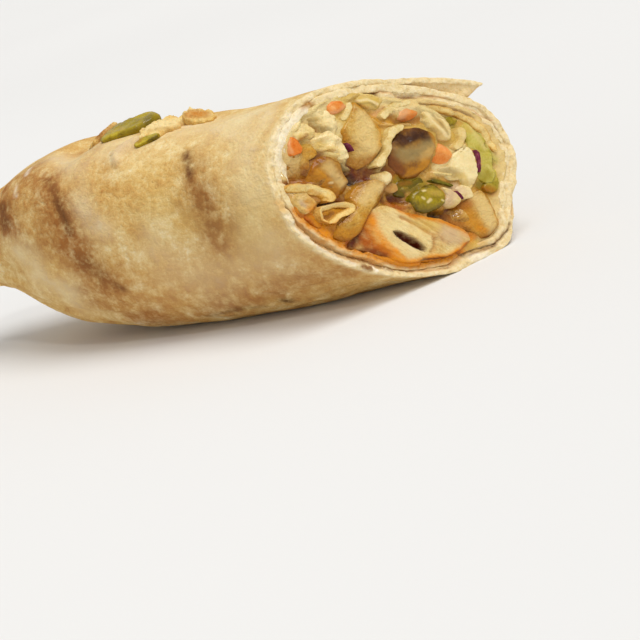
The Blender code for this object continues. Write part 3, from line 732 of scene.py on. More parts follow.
along = np.r_[outer[::-1], np.zeros(len(LIP_LAYERS) - 2), inner][:, None]
layer = np.r_[outer * 0.0, LIP_LAYERS[1:-1], inner * 0.0 + 1.0][:, None]
layer = 0.5 + (layer - 0.5) * thickness
sheet, behind = sheet_points(angle, along, layer)
print("sheet grid", sheet.shape[:2], "lowest point", sheet[..., 2].min().round(2), "mm")

# %% Close the sheet's long edges
# The inner face has fewer rows, so each edge is closed with faces that take in several rows.
rows, columns = sheet.shape[:2]
faces = grid_faces(rows, columns, close_rows=True).tolist()
at_outer = [len(outer) - 1 - int(np.argmin(np.abs(outer - t))) for t in inner]
at_inner = list(range(rows - len(inner), rows))
loops = [list(range(at_outer[0], at_inner[0] + 1))]
loops += [[*range(at_outer[k + 1], at_outer[k] + 1), at_inner[k], at_inner[k + 1]]
          for k in range(len(inner) - 1)]
faces += [[r * columns for r in loop] for loop in loops]
faces += [[(r + 1) * columns - 1 for r in reversed(loop)] for loop in loops]

# %% Where the sheet is toasted, floury, stained or cut, and painted shade in its partings
# the tan line inside the lower left lip is painted shade of the groove there, and the two toffee strokes
# below it are painted shade in a pocket between the layers
LIP_STROKES = read_rows("""
beige 0.85 1.5 -29.6,2.6 -29,-1 -27.6,-6 -24.6,-10.4 -20.6,-14
tan 0.6 0.7 -29.8,1 -28.6,-4 -26,-9 -22.4,-13
paprika 0.9 1.2 -27.8,5 -26.8,1 -24.9,-4 -21.4,-9.6 -16.8,-14.8 -12.5,-18.8 -7.5,-21.6 -1,-23.2 2.6,-23.2
    6,-21.6
rust 0.55 0.5 -26.9,1 -25,-3.4 -21.8,-8.8 -17,-14.2 -12,-18.6
gold 0.5 1.3 4,-22.6 10,-23.4
amber 0.8 0.8 -10.4,28.2 -8.4,28.6 -8.2,27.4
gold 0.5 1.2 -30.9,8.8 -30.6,7
paprika 0.6 0.6 12.2,-27.6 12.8,-28.2
milk 0.45 0.5 -30.7,5 -30.5,0 -29.2,-4.6 -26.8,-9.8 -23.4,-13.6
milk 0.6 1.3 5.4,-26 9,-27.4
milk 0.5 1.6 -24.6,14.4 -24,18 -20,23.4 -14.6,26.6 -11,26.6
toffee 0.85 0.8 -21.6,-15.2 -20.2,-16.2
toffee 0.6 0.5 -17.6,-17.2 -15.6,-19.2
milk 0.8 0.5 -19.2,-17.6 -18.2,-16.4
""")
# the partings are painted with shade: toffee where deep, tan where shallow
GAP_PAINT = [("toffee" if depth > 0.8 else "tan", 0.75, width * 1.1, line) for depth, width, line in PARTINGS]
outer_turn = (angle < math.radians(SEAM_START + 360.0 + SEAM_LENGTH)) + 0.0 * along
outside = (layer < 0.5) * outer_turn
unrolled = np.stack(np.broadcast_arrays(sheet[..., 0], MEAN_RADIUS * angle), -1)
lines = [(kind, amount, width, [(x, MEAN_RADIUS * math.radians(turn)) for x, turn in line])
         for kind, amount, width, line in BREAD_STROKES]
face = sheet[..., 1:] - (0.0, CUT_HEIGHT)
baked = paint(unrolled, lines, ragged=0.6, size=7.0, fall=1.7)
baked[..., 3] *= outside * smooth(behind / 2.0)
lip = paint(face, [*LIP_STROKES, *GAP_PAINT], ragged=0.35, size=1.1)
# the lip's paint runs a little way back over the crust, and further in between the layers, where the
# partings' painted shade lies
CRUST_REACH, GAP_REACH = 0.8, 5.0
lip[..., 3] *= np.where(outside > 0.0, bell(behind, CRUST_REACH), bell(behind, GAP_REACH))
marks = {"paint": lay_over(baked, lip),
         "crumb": np.maximum(bell(behind, 1.0), 0.75 * (1.0 - outside))}
flatbread = make_piece("rolled_flatbread", sheet, faces, marks)
print("flatbread", len(flatbread.data.polygons), "faces")

# %% [markdown]
# ## Toasted flatbread, the finish
# Baked wheat dough is pale and floury where it was soft, tan where it touched the plate, and brown
# in blisters. It is matt and lets a little light in, so it gets soft subsurface scattering. The cut
# edge shows open crumb, paler than the crust.

# %% Flatbread material
bread, tree, shader = new_material("baked_flatbread", Roughness=0.75, Specular_IOR_Level=0.25,
                                   Subsurface_Weight=0.08, Subsurface_Radius=(1.0, 0.6, 0.3),
                                   Subsurface_Scale=0.0012)
broad, patches, mid = noise(tree, 12.0), noise(tree, 5.0, 3.0), noise(tree, 2.4, 3.0)
fine, pores, streaks = noise(tree, 0.9, 3.0), noise(tree, 0.45, 2.0), noise(tree, 1.6, 3.0, (0.3, 1.0, 1.0))
tone = sums(tree, (broad, 0.8), (patches, 0.75), (mid, 0.6), (streaks, 0.3), (fine, 0.45),
            (pores, 0.25), -1.13)
crust = ramp(tree, tone, (0.0, "#f1e0b4"), (0.25, "#e5c98c"), (0.5, "#d5ac64"), (0.75, "#c28e4a"),
             (1.0, "#a8703a"))
crust = painted(tree, crust, sums(tree, (mid, 1.6), (patches, 1.2), (fine, 0.8), -1.3))
crumb = ramp(tree, sums(tree, (mid, 0.6), (fine, 0.8), -0.2), (0.1, "#c49c60"), (0.4, "#e2c992"),
             (0.8, "#f2e0b8"))
crust = blend(tree, value_of(tree, "crumb"), crust, painted(tree, crumb, fine))
tree.links.new(crust, shader.inputs["Base Color"])
bumps(tree, shader, (mid, 0.5), (streaks, 0.25), (fine, 0.35))
dress(flatbread, "toasted_bread", bread, "flatbread")

# %% [markdown]
# ## The filling
# Each fry, shred and slice shows as one face in the cut, and runs back into the roll. So each is a
# closed outline in the cut face, carried back along the roll. The face isn't flat: a knife or a fry's
# own sides leave slanted planes, the rim is a little rounded, and the food is uneven.

# %% The filling's outlines in the cut face
FILLING_SLACK = 0.03         # share of the room that the filling leaves free behind the cut
BACK_END = -110.0            # where the long pieces end inside the roll

# name, food, how far it stands out of the cut, crown of its face, outline (u, v)
PIECES = read_rows("""
carrot_left carrot 0.3 0.4 -20.3,18.4 -18.5,18.2 -17.2,19.2 -17.1,21.2 -18,22.1 -19.3,20.9
carrot_top carrot 0.4 0.4 -5.2,24 -3.2,23.6 -0.9,24.2 -1.4,25.4 -3.2,26.2 -4.8,25.8
carrot_right_top carrot 0.2 0.4 10.4,15.9 12,14.4 14.4,14.2 16.2,15.6 15.4,17 12.4,17.1
carrot_right carrot 0.5 0.5 12.6,1.4 14,-0.6 15.8,0.9 17.1,3 16.2,4.7 14.4,4
fry_upper_left fried_potato -1.2 0.8 -22.1,13.2 -20,11.2 -18.2,12.9 -16.6,15.4 -14,15.8 -13.8,19 -15,20.6
    -17,18.4 -20.6,17.8 -21.9,15.6
fry_upper_large fried_potato 1.2 0.6 -6.1,8 -3,8.8 -0.2,10.6 1.4,13.4 3.8,15.6 4.2,18.4 3,21.8 2,24 0.4,22.4
    -2,20.6 -5.6,18.6 -5.9,14 -7.6,11
fry_left_wedge browned_potato -0.4 0.8 -14.8,1.8 -12.4,5 -11.6,8 -11,11.4 -11.8,14 -15.2,14.2 -17.6,12.2
    -19.3,9.2 -17.6,5.6 -16,2.9
fry_centre fried_potato 1.6 0.5 -22.4,-5.4 -21.2,-7.1 -17.4,-6.2 -14.6,-4.2 -12.6,-2.7 -9,-2.4 -6.8,-0.9
    -5.4,1.6 -6.6,3.8 -11,3.8 -13.4,2.2 -14.9,-0.9 -17.4,-1.9 -21.2,-3.1
fry_lower_right fried_potato 0.6 0.6 6.4,-14.6 9,-12.1 13.6,-11.7 17.4,-10.8 19,-13.2 17.8,-17.4 15.6,-21.4
    13.4,-22.8 11.2,-22.2 9,-19.2
potato_browned browned_potato 0.4 0.7 1.6,4.6 2.6,1.2 6,-0.2 9.4,0.9 11.6,3.6 14.4,6.2 15.3,8.6 12.8,11.1 9,12
    4.8,10.4 2.4,7.8
chicken_main grilled_chicken 1 0.8 -20.2,-9.5 -17,-6.5 -12.6,-3.4 -8.6,-3.6 -4.6,-7 -1.2,-10 2.6,-12.4 6,-16.4
    7.7,-19.4 6,-21.1 -1,-22.1 -6,-20.7 -12.4,-18.2 -16.2,-13.7
chicken_scrap marinated_chicken -0.8 0.5 -26,2.9 -25.5,2.6 -25,1.6 -24.9,0.4 -24.4,-0.9 -24.8,-1.3 -25.5,-0.2
    -25.9,1.5
pickle_front pickle 0.8 0.5 -0.6,-7.2 0.6,-4.6 4,-3.9 7.4,-4.4 8,-6.4 6.4,-9.4 3,-10 0.6,-9.2
pickle_back pickle -1.6 0.4 -1.4,-2.4 0,-0.4 1.8,-0.2 4.4,-1.4 6.6,-1.6 6.2,-3.1 2.6,-3.5 0,-3.6
pickle_right pickle -0.8 0.3 22,8.7 23.4,8.3 24.4,8.6 23.9,9.6 22.6,10
slaw_left creamy_slaw 0 0.4 -16.7,21.3 -14.9,21.7 -12.8,20.2 -11.9,21.6 -12.4,23.9 -14.8,24.2 -16.6,23
slaw_middle creamy_slaw 0.6 0.5 -13.2,17.4 -12.4,15.9 -10.8,15 -9.9,12.4 -8.6,12.2 -8.2,14.8 -7.9,17.4
    -8.9,19.4 -11.4,19.4 -12.9,19.6
slaw_upper creamy_slaw 0.6 0.5 -11.2,22.2 -9.8,19.9 -8,19.4 -6.9,19.8 -5.7,21 -6.2,25.4 -7.6,26.2 -9.8,26
    -11.2,24.6
slaw_lump_left creamy_slaw 0.2 0.5 -26.9,7.3 -26.2,8.4 -25,8.5 -23.8,7.8 -22.9,6.6 -22.7,5.3 -23.4,4.2
    -24.8,3.6 -26.1,4.1 -26.8,5.4
cabbage_top white_cabbage 0.2 0.4 3,24.5 3.7,22.4 5.4,20.9 7.8,20.6 8.6,22 8,23.4 5,25.1
cabbage_white_right white_cabbage 0.6 0.5 16.5,8.8 16.8,6 18.6,5.4 20.5,7.6 21.1,10.8 20.4,12.2 18.2,14
    16.8,14.2 15.7,12.4
cabbage_white_lower white_cabbage 0.9 0.6 12.2,-1.6 14.4,-1.6 16.4,0.4 21.2,0.8 21.6,-1.2 19.4,-5.4 16.4,-8.4
    15.2,-8.4 14.9,-5.6 12.9,-4.2
cabbage_purple_left white_cabbage 0.5 0.5 6.9,-9.9 8.6,-7.8 9,-5.8 10.1,-6.9 10.9,-8.9 10.3,-10.9 8.4,-11.1
cabbage_purple_right white_cabbage 0.5 0.5 12.4,-10.6 12.3,-8.6 13.3,-6.9 14.3,-7.4 14.9,-9.4 14.2,-10.7
lettuce_lower lettuce -0.6 0.4 20,-10.8 22.2,-9.9 24.4,-8.2 25.4,-7.6 24.6,-10.2 22.8,-12.4 21,-12.6
onion_lump onion 0.9 0.6 -4.7,3.2 -4,4.4 -2.2,4.2 -1.5,3.2 -2.4,1.9 -4.2,1.8
onion_lower onion -0.6 0.4 -4.4,0.8 -2.2,0.9 -1.1,0.2 -1.4,-1.1 -2.6,-1.2 -3.8,-0.4
""")

print(len(PIECES), "outlines from", PIECES[0][0], "to", PIECES[-1][0])

# %% Strips, and measures of the meat and of the torn top
# name, food, how far it stands out, width, centre line (u, v) in the cut face
STRIPS = read_rows("""
bread_fold_upper soft_bread 0.8 1.5 -24.4,9.9 -22.6,9.1 -21,7.5 -19.9,6.1 -19.6,4.9 -20.8,4.3
bread_fold_middle soft_bread 0.6 1.1 -23.7,1.6 -22.9,2.6 -20.8,2.5 -18.6,2 -16.9,1.2 -15.8,0 -17.4,-0.7
    -19.5,-0.7 -21.5,-1.1 -23.2,-1.4
bread_fold_right soft_bread 0.3 1.5 18.1,15.5 22.4,12.5 25.9,9.1 27.7,5.2 28.2,1 27.7,-3.2
cabbage_shred_top white_cabbage 0.4 1.2 -4,21.4 -2.2,22 -0.6,22.9 0.8,24.6
cabbage_shred_middle white_cabbage 1.2 1.5 -3.9,6.7 -1.2,7.8 1.3,9.6 3.2,11.8 5.8,13.2 9,13.6
cabbage_shred_right white_cabbage 0.4 1.7 6,17.4 8.6,18.6 12,19 15,18.3
cabbage_ruffle white_cabbage 0.9 1.5 17.9,2.2 19.6,2.9 21,3.9 22.2,5.6 22.5,7
lettuce_rib lettuce -0.2 3 20,-8.8 22.5,-7.3 24.1,-4.3 24.8,-0.8 25,3.2 25.1,7
red_cabbage_rind red_cabbage 1.2 0.9 22.4,-0.2 22.2,-1.9 21.2,-4 19.8,-6.1
red_cabbage_bit_left red_cabbage 0.9 1 -7.1,15.6 -6.9,14.2 -6.8,12.9
red_cabbage_bit_right red_cabbage 0.5 0.9 11.6,-8 11.6,-9.2 11.4,-10.6
herb_leaf herb 0.2 1 7.7,-2.6 9.2,-4 10.6,-5.2 11.8,-6.6
""")

# the meat: a place on its fibres and their direction; the split between them, its line, width and depth
FIBRE_PLACE, FIBRE_DIRECTION = (-10.0, -10.6), (0.49, 0.87)
SPLIT_LINE = ((-10.2, -10.4), (-9.0, -12.6), (-7.6, -15.2), (-6.0, -18.0))
SPLIT_MIDDLE_V, SPLIT_HALF_LENGTH, SPLIT_HALF_WIDTH, SPLIT_DEPTH = -14.3, 4.2, 1.0, 2.6
FOLD_DEPTH, FOLD_WIDTH = 0.6, 0.5        # creases of the meat, under its tan strokes, which are painted shade in the creases

# what lies where the top of the roll is torn: name, food, x, place around the roll in degrees,
# half length, half width, thickness
TOP_PIECES = (
    ("pickle_top", "pickle", -77.0, 94.0, 7.2, 4.4, 2.4),
    ("pickle_top_small", "pickle", -66.2, 114.0, 3.4, 1.4, 0.9),
    ("bread_torn_left", "soft_bread", -88.4, 92.0, 3.6, 4.4, 1.7),
    ("bread_torn_right", "soft_bread", -64.4, 101.0, 4.8, 4.3, 1.7),
    ("bread_flake_top", "soft_bread", -55.0, 91.0, 5.0, 3.2, 1.9),
)
TOP_FOOT = 0.45              # gap between the roll and the slices

print(len(STRIPS), "strips and", len(TOP_PIECES), "pieces on the torn top")

# %% [markdown]
# The next table is the look of each face: how dark the food is in its middle and how much darker at
# its rim, how far the rim is rounded, and the planes that slope away, each with its direction in
# degrees, its distance from the middle and its slope. The strokes are what lies on it.

# %% Looks of the faces
LOOKS = {name: look for name, *look in read_rows("""
carrot_left 0.55 0 0.35 0,0.6,0.5
carrot_top 0.5 0 0.5 270,0.5,0.4
carrot_right_top 0.32 0 0.4 260,0.3,0.9
carrot_right 0.26 0 0.3 215,0.2,0.7 30,1.2,0.8
fry_upper_left 0.4 0.1 0.3 215,1.2,0.7 90,2.8,0.6
fry_upper_large 0.3 0.1 0.35 195,2.6,0.8 285,5,0.9 10,3.2,0.6
fry_left_wedge 0.46 0.1 0.3 200,1.2,0.9 95,4.6,0.8 285,3,0.8 350,3.2,0.6
fry_centre 0.49 0.1 0.35 120,1,0.6 300,1.3,0.9 215,5.2,0.5
fry_lower_right 0.49 0.1 0.3 150,1.2,0.8 355,3.6,0.6 265,4.4,0.7
potato_browned 0.47 0.1 0.4 80,2.6,0.25 260,2.6,0.5 185,4.2,0.6
chicken_main 0.25 0.1 0.5 165,7,0.35 40,4.6,0.4
chicken_scrap 0.4 0.1 0.3
pickle_front 0.5 0.2 0.7 250,1.6,0.6 60,2.2,0.4
pickle_back 0.85 0 0.4
pickle_right 0.5 0 0.3 180,0.2,0.8
slaw_left 0.2 0.1 0.5 265,0.8,0.5
slaw_middle 0.15 0 0.6 180,1,0.4
slaw_upper 0.2 0 0.8 185,0.2,1.1
slaw_lump_left 0.35 0.1 0.7
cabbage_top 0.45 0 0.5 270,1,0.4
cabbage_white_right 0.3 0.05 0.5 10,1.6,0.5 200,1.4,0.3
cabbage_white_lower 0.15 0 0.5 160,1.4,0.5 265,3.2,0.5
cabbage_purple_left 0.3 0.05 0.5 240,0.8,0.4
cabbage_purple_right 0.2 0.05 0.4 120,0.6,0.6
lettuce_lower 0.6 0 0.4
onion_lump 0.1 0.2 0.9 320,0.5,0.5
onion_lower 0.5 0.1 0.5
""")}
print(len(LOOKS), "looks, the darkest of them", max(LOOKS, key=lambda name: LOOKS[name][0]))

# %% Strokes on the faces
# under the name of each piece: pigment, amount, width, line of places in the cut face
# painted shade: the near-black line at the right edge of fry_left_wedge, beside a hole, the ash and amber in
# the hollow of slaw_upper, and the ash on the left of cabbage_white_lower
# the tan lines on chicken_main are painted shade along its creases
# the thin white strokes on pickle_front, and the short one on fry_left_wedge, are painted highlights
STROKES = read_groups("""
carrot_left
blush 0.7 0.5 -20.4,19 -20.2,20.6 -19,22.2
carrot_top
blush 0.7 0.8 -5.2,24 -3,23.2 -0.6,24.4
light 0.3 0.8 -4.2,25.2
carrot_right_top
blush 0.9 1.2 10.6,15.8 12.4,16.8
toffee 0.5 0.5 10.8,14.6 12.6,14
carrot_right
blush 0.4 0.9 15.6,4.4 17,2.8
blush 0.5 0.4 13.4,-0.8 14.4,-0.4
fry_upper_left
amber 0.75 2 -22.4,14 -20.4,12 -18.2,13.4
amber 0.5 1 -20.8,17.4 -18,17.4
gold 0.6 1.6 -18.4,18 -15.2,19.4 -14.4,17
straw 0.6 0.8 -15.6,19.6 -14.4,18.4
fry_upper_large
crumb 0.75 2.8 -2.4,12.4 -1.2,16.5 1.6,19.6
gold 0.55 1 -6.2,18.8 -6.4,14 -7.6,11.2
amber 0.6 1.4 -7.2,10.6 -5.4,8.6 -2.6,8.8
tan 0.6 0.8 -3.8,8.6 -2,9.2
gold 0.55 0.9 0.4,11.4 2.6,14 4.4,17.4
gold 0.7 0.6 1.8,24.2 3.2,21.6
amber 0.5 0.5 -0.4,22.8 0.4,22.6
fry_left_wedge
crumb 0.55 1.7 -13.6,11.6 -13.8,9 -13.4,6.6
ash 0.2 0.9 -13.8,9.2 -15,8.2
gold 0.8 1.3 -19.4,9.4 -17.6,11.6 -16.8,8.6 -16.4,4.8
amber 0.7 0.7 -18.2,12 -16,14.3 -12.6,14.6
amber 0.8 1.4 -17.8,4.2 -15,2.6 -13.2,3.6
soot 0.8 0.4 -10.6,9.6 -11.2,6
milk 0.8 0.3 -16,7.8 -15.6,7.6
fry_centre
crumb 0.7 1.8 -12.6,0.6 -9,1.8 -7,2
gold 0.75 1.6 -22.2,-4.6 -20,-6.2 -17,-5.8 -14.8,-4.2
gold 0.5 0.9 -15,0.4 -13.6,3 -11,4
amber 0.7 0.8 -22.8,-6 -21,-7.6 -18,-7
amber 0.5 0.7 -5.4,1 -7,-1.2 -9.4,-2.6 -13,-3.2
rust 0.7 0.6 -16.8,-6.4 -13.6,-3.8
fry_lower_right
crumb 0.75 2.4 15.4,-12.6 15.4,-16 13.8,-20
gold 0.85 1.6 11,-13.4 10.4,-17.4 11.6,-20.6
paprika 0.35 0.9 10.6,-19.4 11.8,-20.4
toffee 0.7 1 6.4,-13.2 8,-13.6
amber 0.8 1.4 8,-16 9.4,-12.8 12.4,-12.2
toffee 0.9 0.5 11.2,-22.6 13.4,-23.2 15.2,-22.2
gold 0.5 0.6 18.8,-13.2 18,-17 16,-21
potato_browned
ash 1 2.4 4.6,6.6 9,5.8 13,6.6
beige 0.8 1.5 9.6,3.8 12.2,4.4
umber 1 2.1 6.6,10.2 9.6,10 13.6,9.4
soot 0.35 0.9 9,9.4 13,9
gold 0.9 1.5 3.4,1.8 6.4,1 9.8,1.6
toffee 0.9 1.3 1.8,7 2.2,4.2 2.8,2.2
toffee 0.6 0.6 4.4,-0.2 8,-0.2
gold 0.6 0.8 14.6,5.8 15.6,8.6
chicken_main
milk 0.45 2.6 -11.6,-6.6 -9.8,-9.4 -11.4,-13.6 -9.6,-17.6
milk 0.4 1.6 -7.8,-5.6 -6.2,-11 -3.4,-16
beige 0.75 3.6 2.4,-16 4,-18.4
mauve 0.75 2.8 1.8,-16.6 3.4,-18.4
blush 0.5 1.2 6.4,-18.8 7.4,-19.6
milk 0.5 1.4 -9.8,-14.4 -8.6,-17.2
tan 0.75 0.5 -6.6,-7.6 -4.2,-11 -1.8,-15.6 -3.4,-18.6 -4.8,-19.2
tan 0.5 0.4 -3.8,-8.6 -1.6,-12 -0.4,-15 -0.4,-18.4
straw 0.5 2 -3,-11 0.4,-13.6
paprika 0.9 1.6 -13,-4.2 -15.8,-6.4 -16.2,-9.8 -15,-14 -13.6,-18.4
saffron 0.7 0.8 -13.2,-5.6 -14,-9 -13.6,-13.6 -12.4,-17.6
rust 0.8 1.6 -19.2,-9 -16.6,-6.8 -17.2,-11.6 -15.6,-14.4
burnt 0.85 0.8 -20.8,-9.8 -18.8,-8.2 -17.2,-6.6
ember 0.6 0.5 -19,-11 -17,-12.6 -15.6,-15
rust 0.6 0.5 -14,-16.6 -13.4,-19
paprika 0.9 1 -5.4,-5.8 -3,-8.6 0.2,-10.8 4,-13.8 7.8,-18.6
rust 0.6 0.6 -4,-6.6 -1.4,-9.2
saffron 0.85 1 -14.6,-16.6 -12.6,-18.8 -6.4,-20.6 -1,-22.6 4.4,-21.8
ember 0.95 0.8 -7.8,-20.4 -5.2,-21.6 -1.2,-22.9
burnt 0.9 0.6 -6.6,-21 -4.6,-22 -2.8,-22.4
rust 0.7 0.5 -1,-22.6 3,-22.2 5.4,-21.4
chicken_scrap
rust 0.7 0.4 -25.6,1.6 -25.2,0.8
gold 0.6 0.8 -25.4,2.8 -25,-0.8
pickle_front
olive 0.4 1.6 1,-7.6 2.6,-8.6
straw 0.45 1 4.4,-5 6.6,-6.4
milk 0.85 0.3 3.2,-4.1 3.8,-4.2
milk 0.75 0.35 1.9,-5.6 2.1,-6.1
milk 0.7 0.4 2.4,-7.2 3.4,-6.9
milk 0.6 0.3 6.2,-8.4 6.5,-8.8
moss 0.5 0.6 0.4,-9.6 3.4,-10.2
pickle_back
moss 0.8 2 0,-1.6 5,-2.4
amber 0.4 0.8 1,-0.6 3.4,-1
pickle_right
straw 0.5 0.5 24,9.2
slaw_left
straw 0.6 0.8 -16,21.6 -13.6,21.2
amber 0.7 0.6 -16.6,20.9 -14.4,21.4
slaw_middle
straw 0.4 1.2 -13,18 -11.4,16.2
milk 0.8 0.9 -8,18.6 -8.4,15.4 -9,12.6
gold 0.4 0.5 -12.8,15.8 -11,15
slaw_upper
ash 0.6 1 -10.4,24 -10.2,21.6 -9,20.4
amber 0.7 0.8 -11.4,22.6 -11.2,20.8
milk 0.7 1.3 -7,20.6 -7,24.6 -9,26.6
slaw_lump_left
beige 0.7 2 -26.2,7.8 -24.2,7.9
mauve 0.8 0.8 -26,6.4 -25.6,5.4
plum 0.35 0.5 -26.2,5.9 -25.9,5.4
gold 0.9 1.1 -24.2,6 -23.6,4.8 -24.8,4.2
paprika 0.7 0.7 -26,4.2 -24.8,3.6 -23.6,4.2
cabbage_top
straw 0.8 2 3.6,23.8 7,22
gold 0.4 0.5 3.2,22.6 4.4,21.4
milk 0.8 0.4 2.6,24.3 5.4,23.5 7.2,21.2
ash 0.5 0.35 3,23.2 5.6,22.4 6.6,20.8
cabbage_white_lower
ash 0.6 1.4 12.6,-2 14.2,-4
straw 0.45 1.3 14.8,-5 15.4,-7.6
milk 0.6 1.3 17.6,-1.6 19.6,-3.4 17.6,-6.4
cabbage_white_right
beige 0.7 1.8 17,7.4 18.2,10.6
milk 0.5 1 17.8,13.4 20.4,11.4
milk 0.8 0.45 16.8,13.9 17.4,10.1 18,6.4
ash 0.5 0.4 18.2,12.8 18.8,9.6 18.6,6.6
milk 0.7 0.4 19.8,11.8 20,9
cabbage_purple_left
mauve 0.85 1.8 8,-9.4 9.4,-8.2
cabbage_purple_right
mauve 0.6 1.2 12.6,-7.6 13.6,-9.6
milk 0.5 0.6 13.8,-10.6 14.9,-9.4
cabbage_ruffle
straw 0.35 1.6 18.4,2.4 22.2,6.4
lettuce_rib
olive 0.7 1.6 19.6,-8.8 22.6,-8
milk 0.3 0.8 26.2,6 26.2,-1
straw 0.5 1 25,7.4 25.4,4.6
lettuce_lower
amber 0.8 1.2 20,-11 21.4,-12.2
straw 0.5 0.9 23.4,-9.4 24.4,-8.8
bread_fold_upper
gold 0.6 0.6 -22.4,8.2 -20.8,6.4 -20.6,4.6
cream 0.4 0.5 -24.6,10.6 -22,9.6 -20,7.6
bread_fold_middle
paprika 0.35 0.5 -24.4,0.6 -23.4,-1.8 -21,-1.6
milk 0.5 0.4 -22.6,3.1 -20.8,3 -17.4,2
onion_lower
tan 0.6 1.2 -3.6,0 -2,-0.8
onion_lump
milk 0.7 0.9 -3.8,3.2
""")

print(sum(len(strokes) for strokes in STROKES.values()), "strokes on", len(STROKES), "pieces")

# %% Borders, slopes and marks of a face
OUTLINE_POINTS = 96
FACE_RINGS = 28
WALL_ROWS = 14
SIDES_DARKER = 0.18          # a cut face is pale, the sides that slope away from it darker: the colour of frying or soaking where the food has it, and painted shade on every piece
SWELL = 0.46                 # soft food fills the gaps that the solids keep between them
CROWN = 0.6                  # share of a solid's crown that its softer face keeps


def swollen(ring, margin, ragged):
    """A counter-clockwise ring moved outwards along its normals, and made a little uneven."""
    ahead = np.roll(ring, -1, 0) - np.roll(ring, 1, 0)
    ahead /= np.hypot(*ahead.T)[:, None]
    place = in_space(ring)
    margin = margin + ragged * (lumps(place, 2.2, 30) + 0.6 * lumps(place, 0.8, 34, 1))[:, None]
    return ring + margin * np.stack([ahead[:, 1], -ahead[:, 0]], -1)


def sloped(u, v, middle, planes, soft=0.2):
    """The deepest of the planes: slope * soft * log(1 + exp(distance past its edge / soft))."""
    drop = u * 0.0
    for side, offset, slope in planes:
        past = ((u - middle[0]) * math.cos(math.radians(side))
                + (v - middle[1]) * math.sin(math.radians(side)) - offset)
        drop = np.maximum(drop, slope * soft * np.logaddexp(0.0, past / soft))
    return drop


def face_marks(name, u, v, base, rim, rim_width=0.0, inside=None):
    """Tone = base + rim * bell(depth inside) + lumps - strokes of light; and the paint of all the others."""
    place = np.stack([u, v], -1)
    strokes = STROKES.get(name, ())
    tone = base + 0.12 * lumps(in_space(place), 2.2, 31)
    if inside is not None:
        tone = tone + rim * bell(inside, rim_width)
    for stroke in strokes:
        if stroke[0] == "light":
            tone = tone - lay(place, stroke)
    return {"tone": np.clip(tone, 0.0, 1.0), "paint": paint(place, strokes)}


# %% The meat's fibres and their split
def fibre_places(u, v):
    """Meat fibres run down to the right: places across and along them, by turning (u, v)."""
    to_u, to_v = u - FIBRE_PLACE[0], v - FIBRE_PLACE[1]
    sine, cosine = FIBRE_DIRECTION
    return to_u * cosine + to_v * sine, to_v * cosine - to_u * sine


def torn_fibres(u, v):
    """Ridges along the fibres and their folds, then the split between them, a narrow lens, and its painted
    shade.
    """
    across, along = fibre_places(u, v)
    fibres = (0.2 * lumps(np.stack([across * 3.0, along * 0.5, u * 0.0], -1), 4.0, 43)
              + 0.3 * lumps(np.stack([across, along * 0.4, u * 0.0], -1), 2.2, 44))
    place = np.stack([u, v], -1)
    for fold in [line for pigment, *_, line in STROKES["chicken_main"] if pigment == "tan"]:
        fibres = fibres - FOLD_DEPTH * bell(distance_to(place, fold), FOLD_WIDTH)
    gap = distance_to(place, SPLIT_LINE)
    lens = np.sqrt(np.clip(1.15 - ((v - SPLIT_MIDDLE_V) / SPLIT_HALF_LENGTH) ** 2, 0.02, 1.0))
    half = SPLIT_HALF_WIDTH * (0.85 + 0.3 * fibres) * lens
    return fibres * smooth((6.0 - u) / 8.0), bell(gap, half, 4), bell(0.7 * gap, half, 6)


# %% Make one piece's face and sides
def cut_piece(name, outline, front, crown, relief, grain, ragged, angular):
    """Height = front + crown (1 - share^2) - planes - rounded rim + relief * lumps; then carried back."""
    base, rim, round_mm, planes = LOOKS[name]
    ring = swollen(closed_curve(outline, OUTLINE_POINTS, angular), SWELL, ragged)
    middle = ring.mean(0)
    share = 1.0 - (1.0 - np.linspace(0.0, 1.0, FACE_RINGS)[:, None]) ** 1.5
    u, v = (middle[k] + (ring[:, k] - middle[k]) * share for k in (0, 1))
    inside = (1.0 - share) * np.hypot(*(ring - middle).T)
    rounding = 1.0 - quarter_round(inside / round_mm)
    rough = lumps(in_space(np.stack([u, v], -1), front), grain, 41, 3)
    drop = sloped(u, v, middle, planes)
    forward = (front + CROWN * crown * (1.0 - 0.7 * angular) * (1.0 - share ** 2) - drop
               - round_mm * rounding + relief * rough)
    marks = face_marks(name, u, v, base, rim, 1.0, inside)
    # sloped sides darker, partly browning and partly painted shade
    marks["tone"] = marks["tone"] + SIDES_DARKER * smooth(drop)
    if name == "chicken_main":
        fibres, split, dark = torn_fibres(u, v)
        forward = forward + fibres - SPLIT_DEPTH * split
        # the split is painted near black: painted shade inside it
        shadow = np.broadcast_to(colour(PIGMENTS["burnt"]), marks["paint"].shape).copy()
        shadow[..., 3] = dark
        marks["paint"] = lay_over(marks["paint"], shadow)
        marks["across"], marks["lengthwise"] = fibre_places(u, v)
    back = np.linspace(0.0, 1.0, WALL_ROWS)[1:, None] ** 3
    end = BACK_END - cut_x(u[-1], v[-1])
    walls = forward[-1] + (end - forward[-1]) * back
    rows = [np.concatenate([a, np.broadcast_to(a[-1], walls.shape)]) for a in (u, v)]
    points = filling_points(rows[0], rows[1], np.concatenate([forward, walls]))
    points = np.concatenate([points, np.broadcast_to(points[-1].mean(0), points[-1:].shape)])
    faces = grid_faces(len(points), OUTLINE_POINTS, close_columns=True)
    return make_piece("cut_" + name, points, faces, repeat_last(marks, WALL_ROWS))


# %% [markdown]
# A strip is a shred or a fold: a thin band that follows a line. Its section is carried along that
# line, and narrows to nothing at both ends, which closes it.

# %% Make one strip
STRIP_ROWS = 72
STRIP_ACROSS = 11
STRIP_WALL = 9
# a food's tone in the middle, how much darker it is at the rim, and how much wider than the solid
STRIP_LOOKS = {"soft_bread": (0.15, 0.5, 1.45), "white_cabbage": (0.25, 0.2, 1.2),
               "lettuce": (0.35, 0.1, 1.5), "red_cabbage": (0.5, 0.0, 0.8), "herb": (0.35, 0.1, 0.8)}


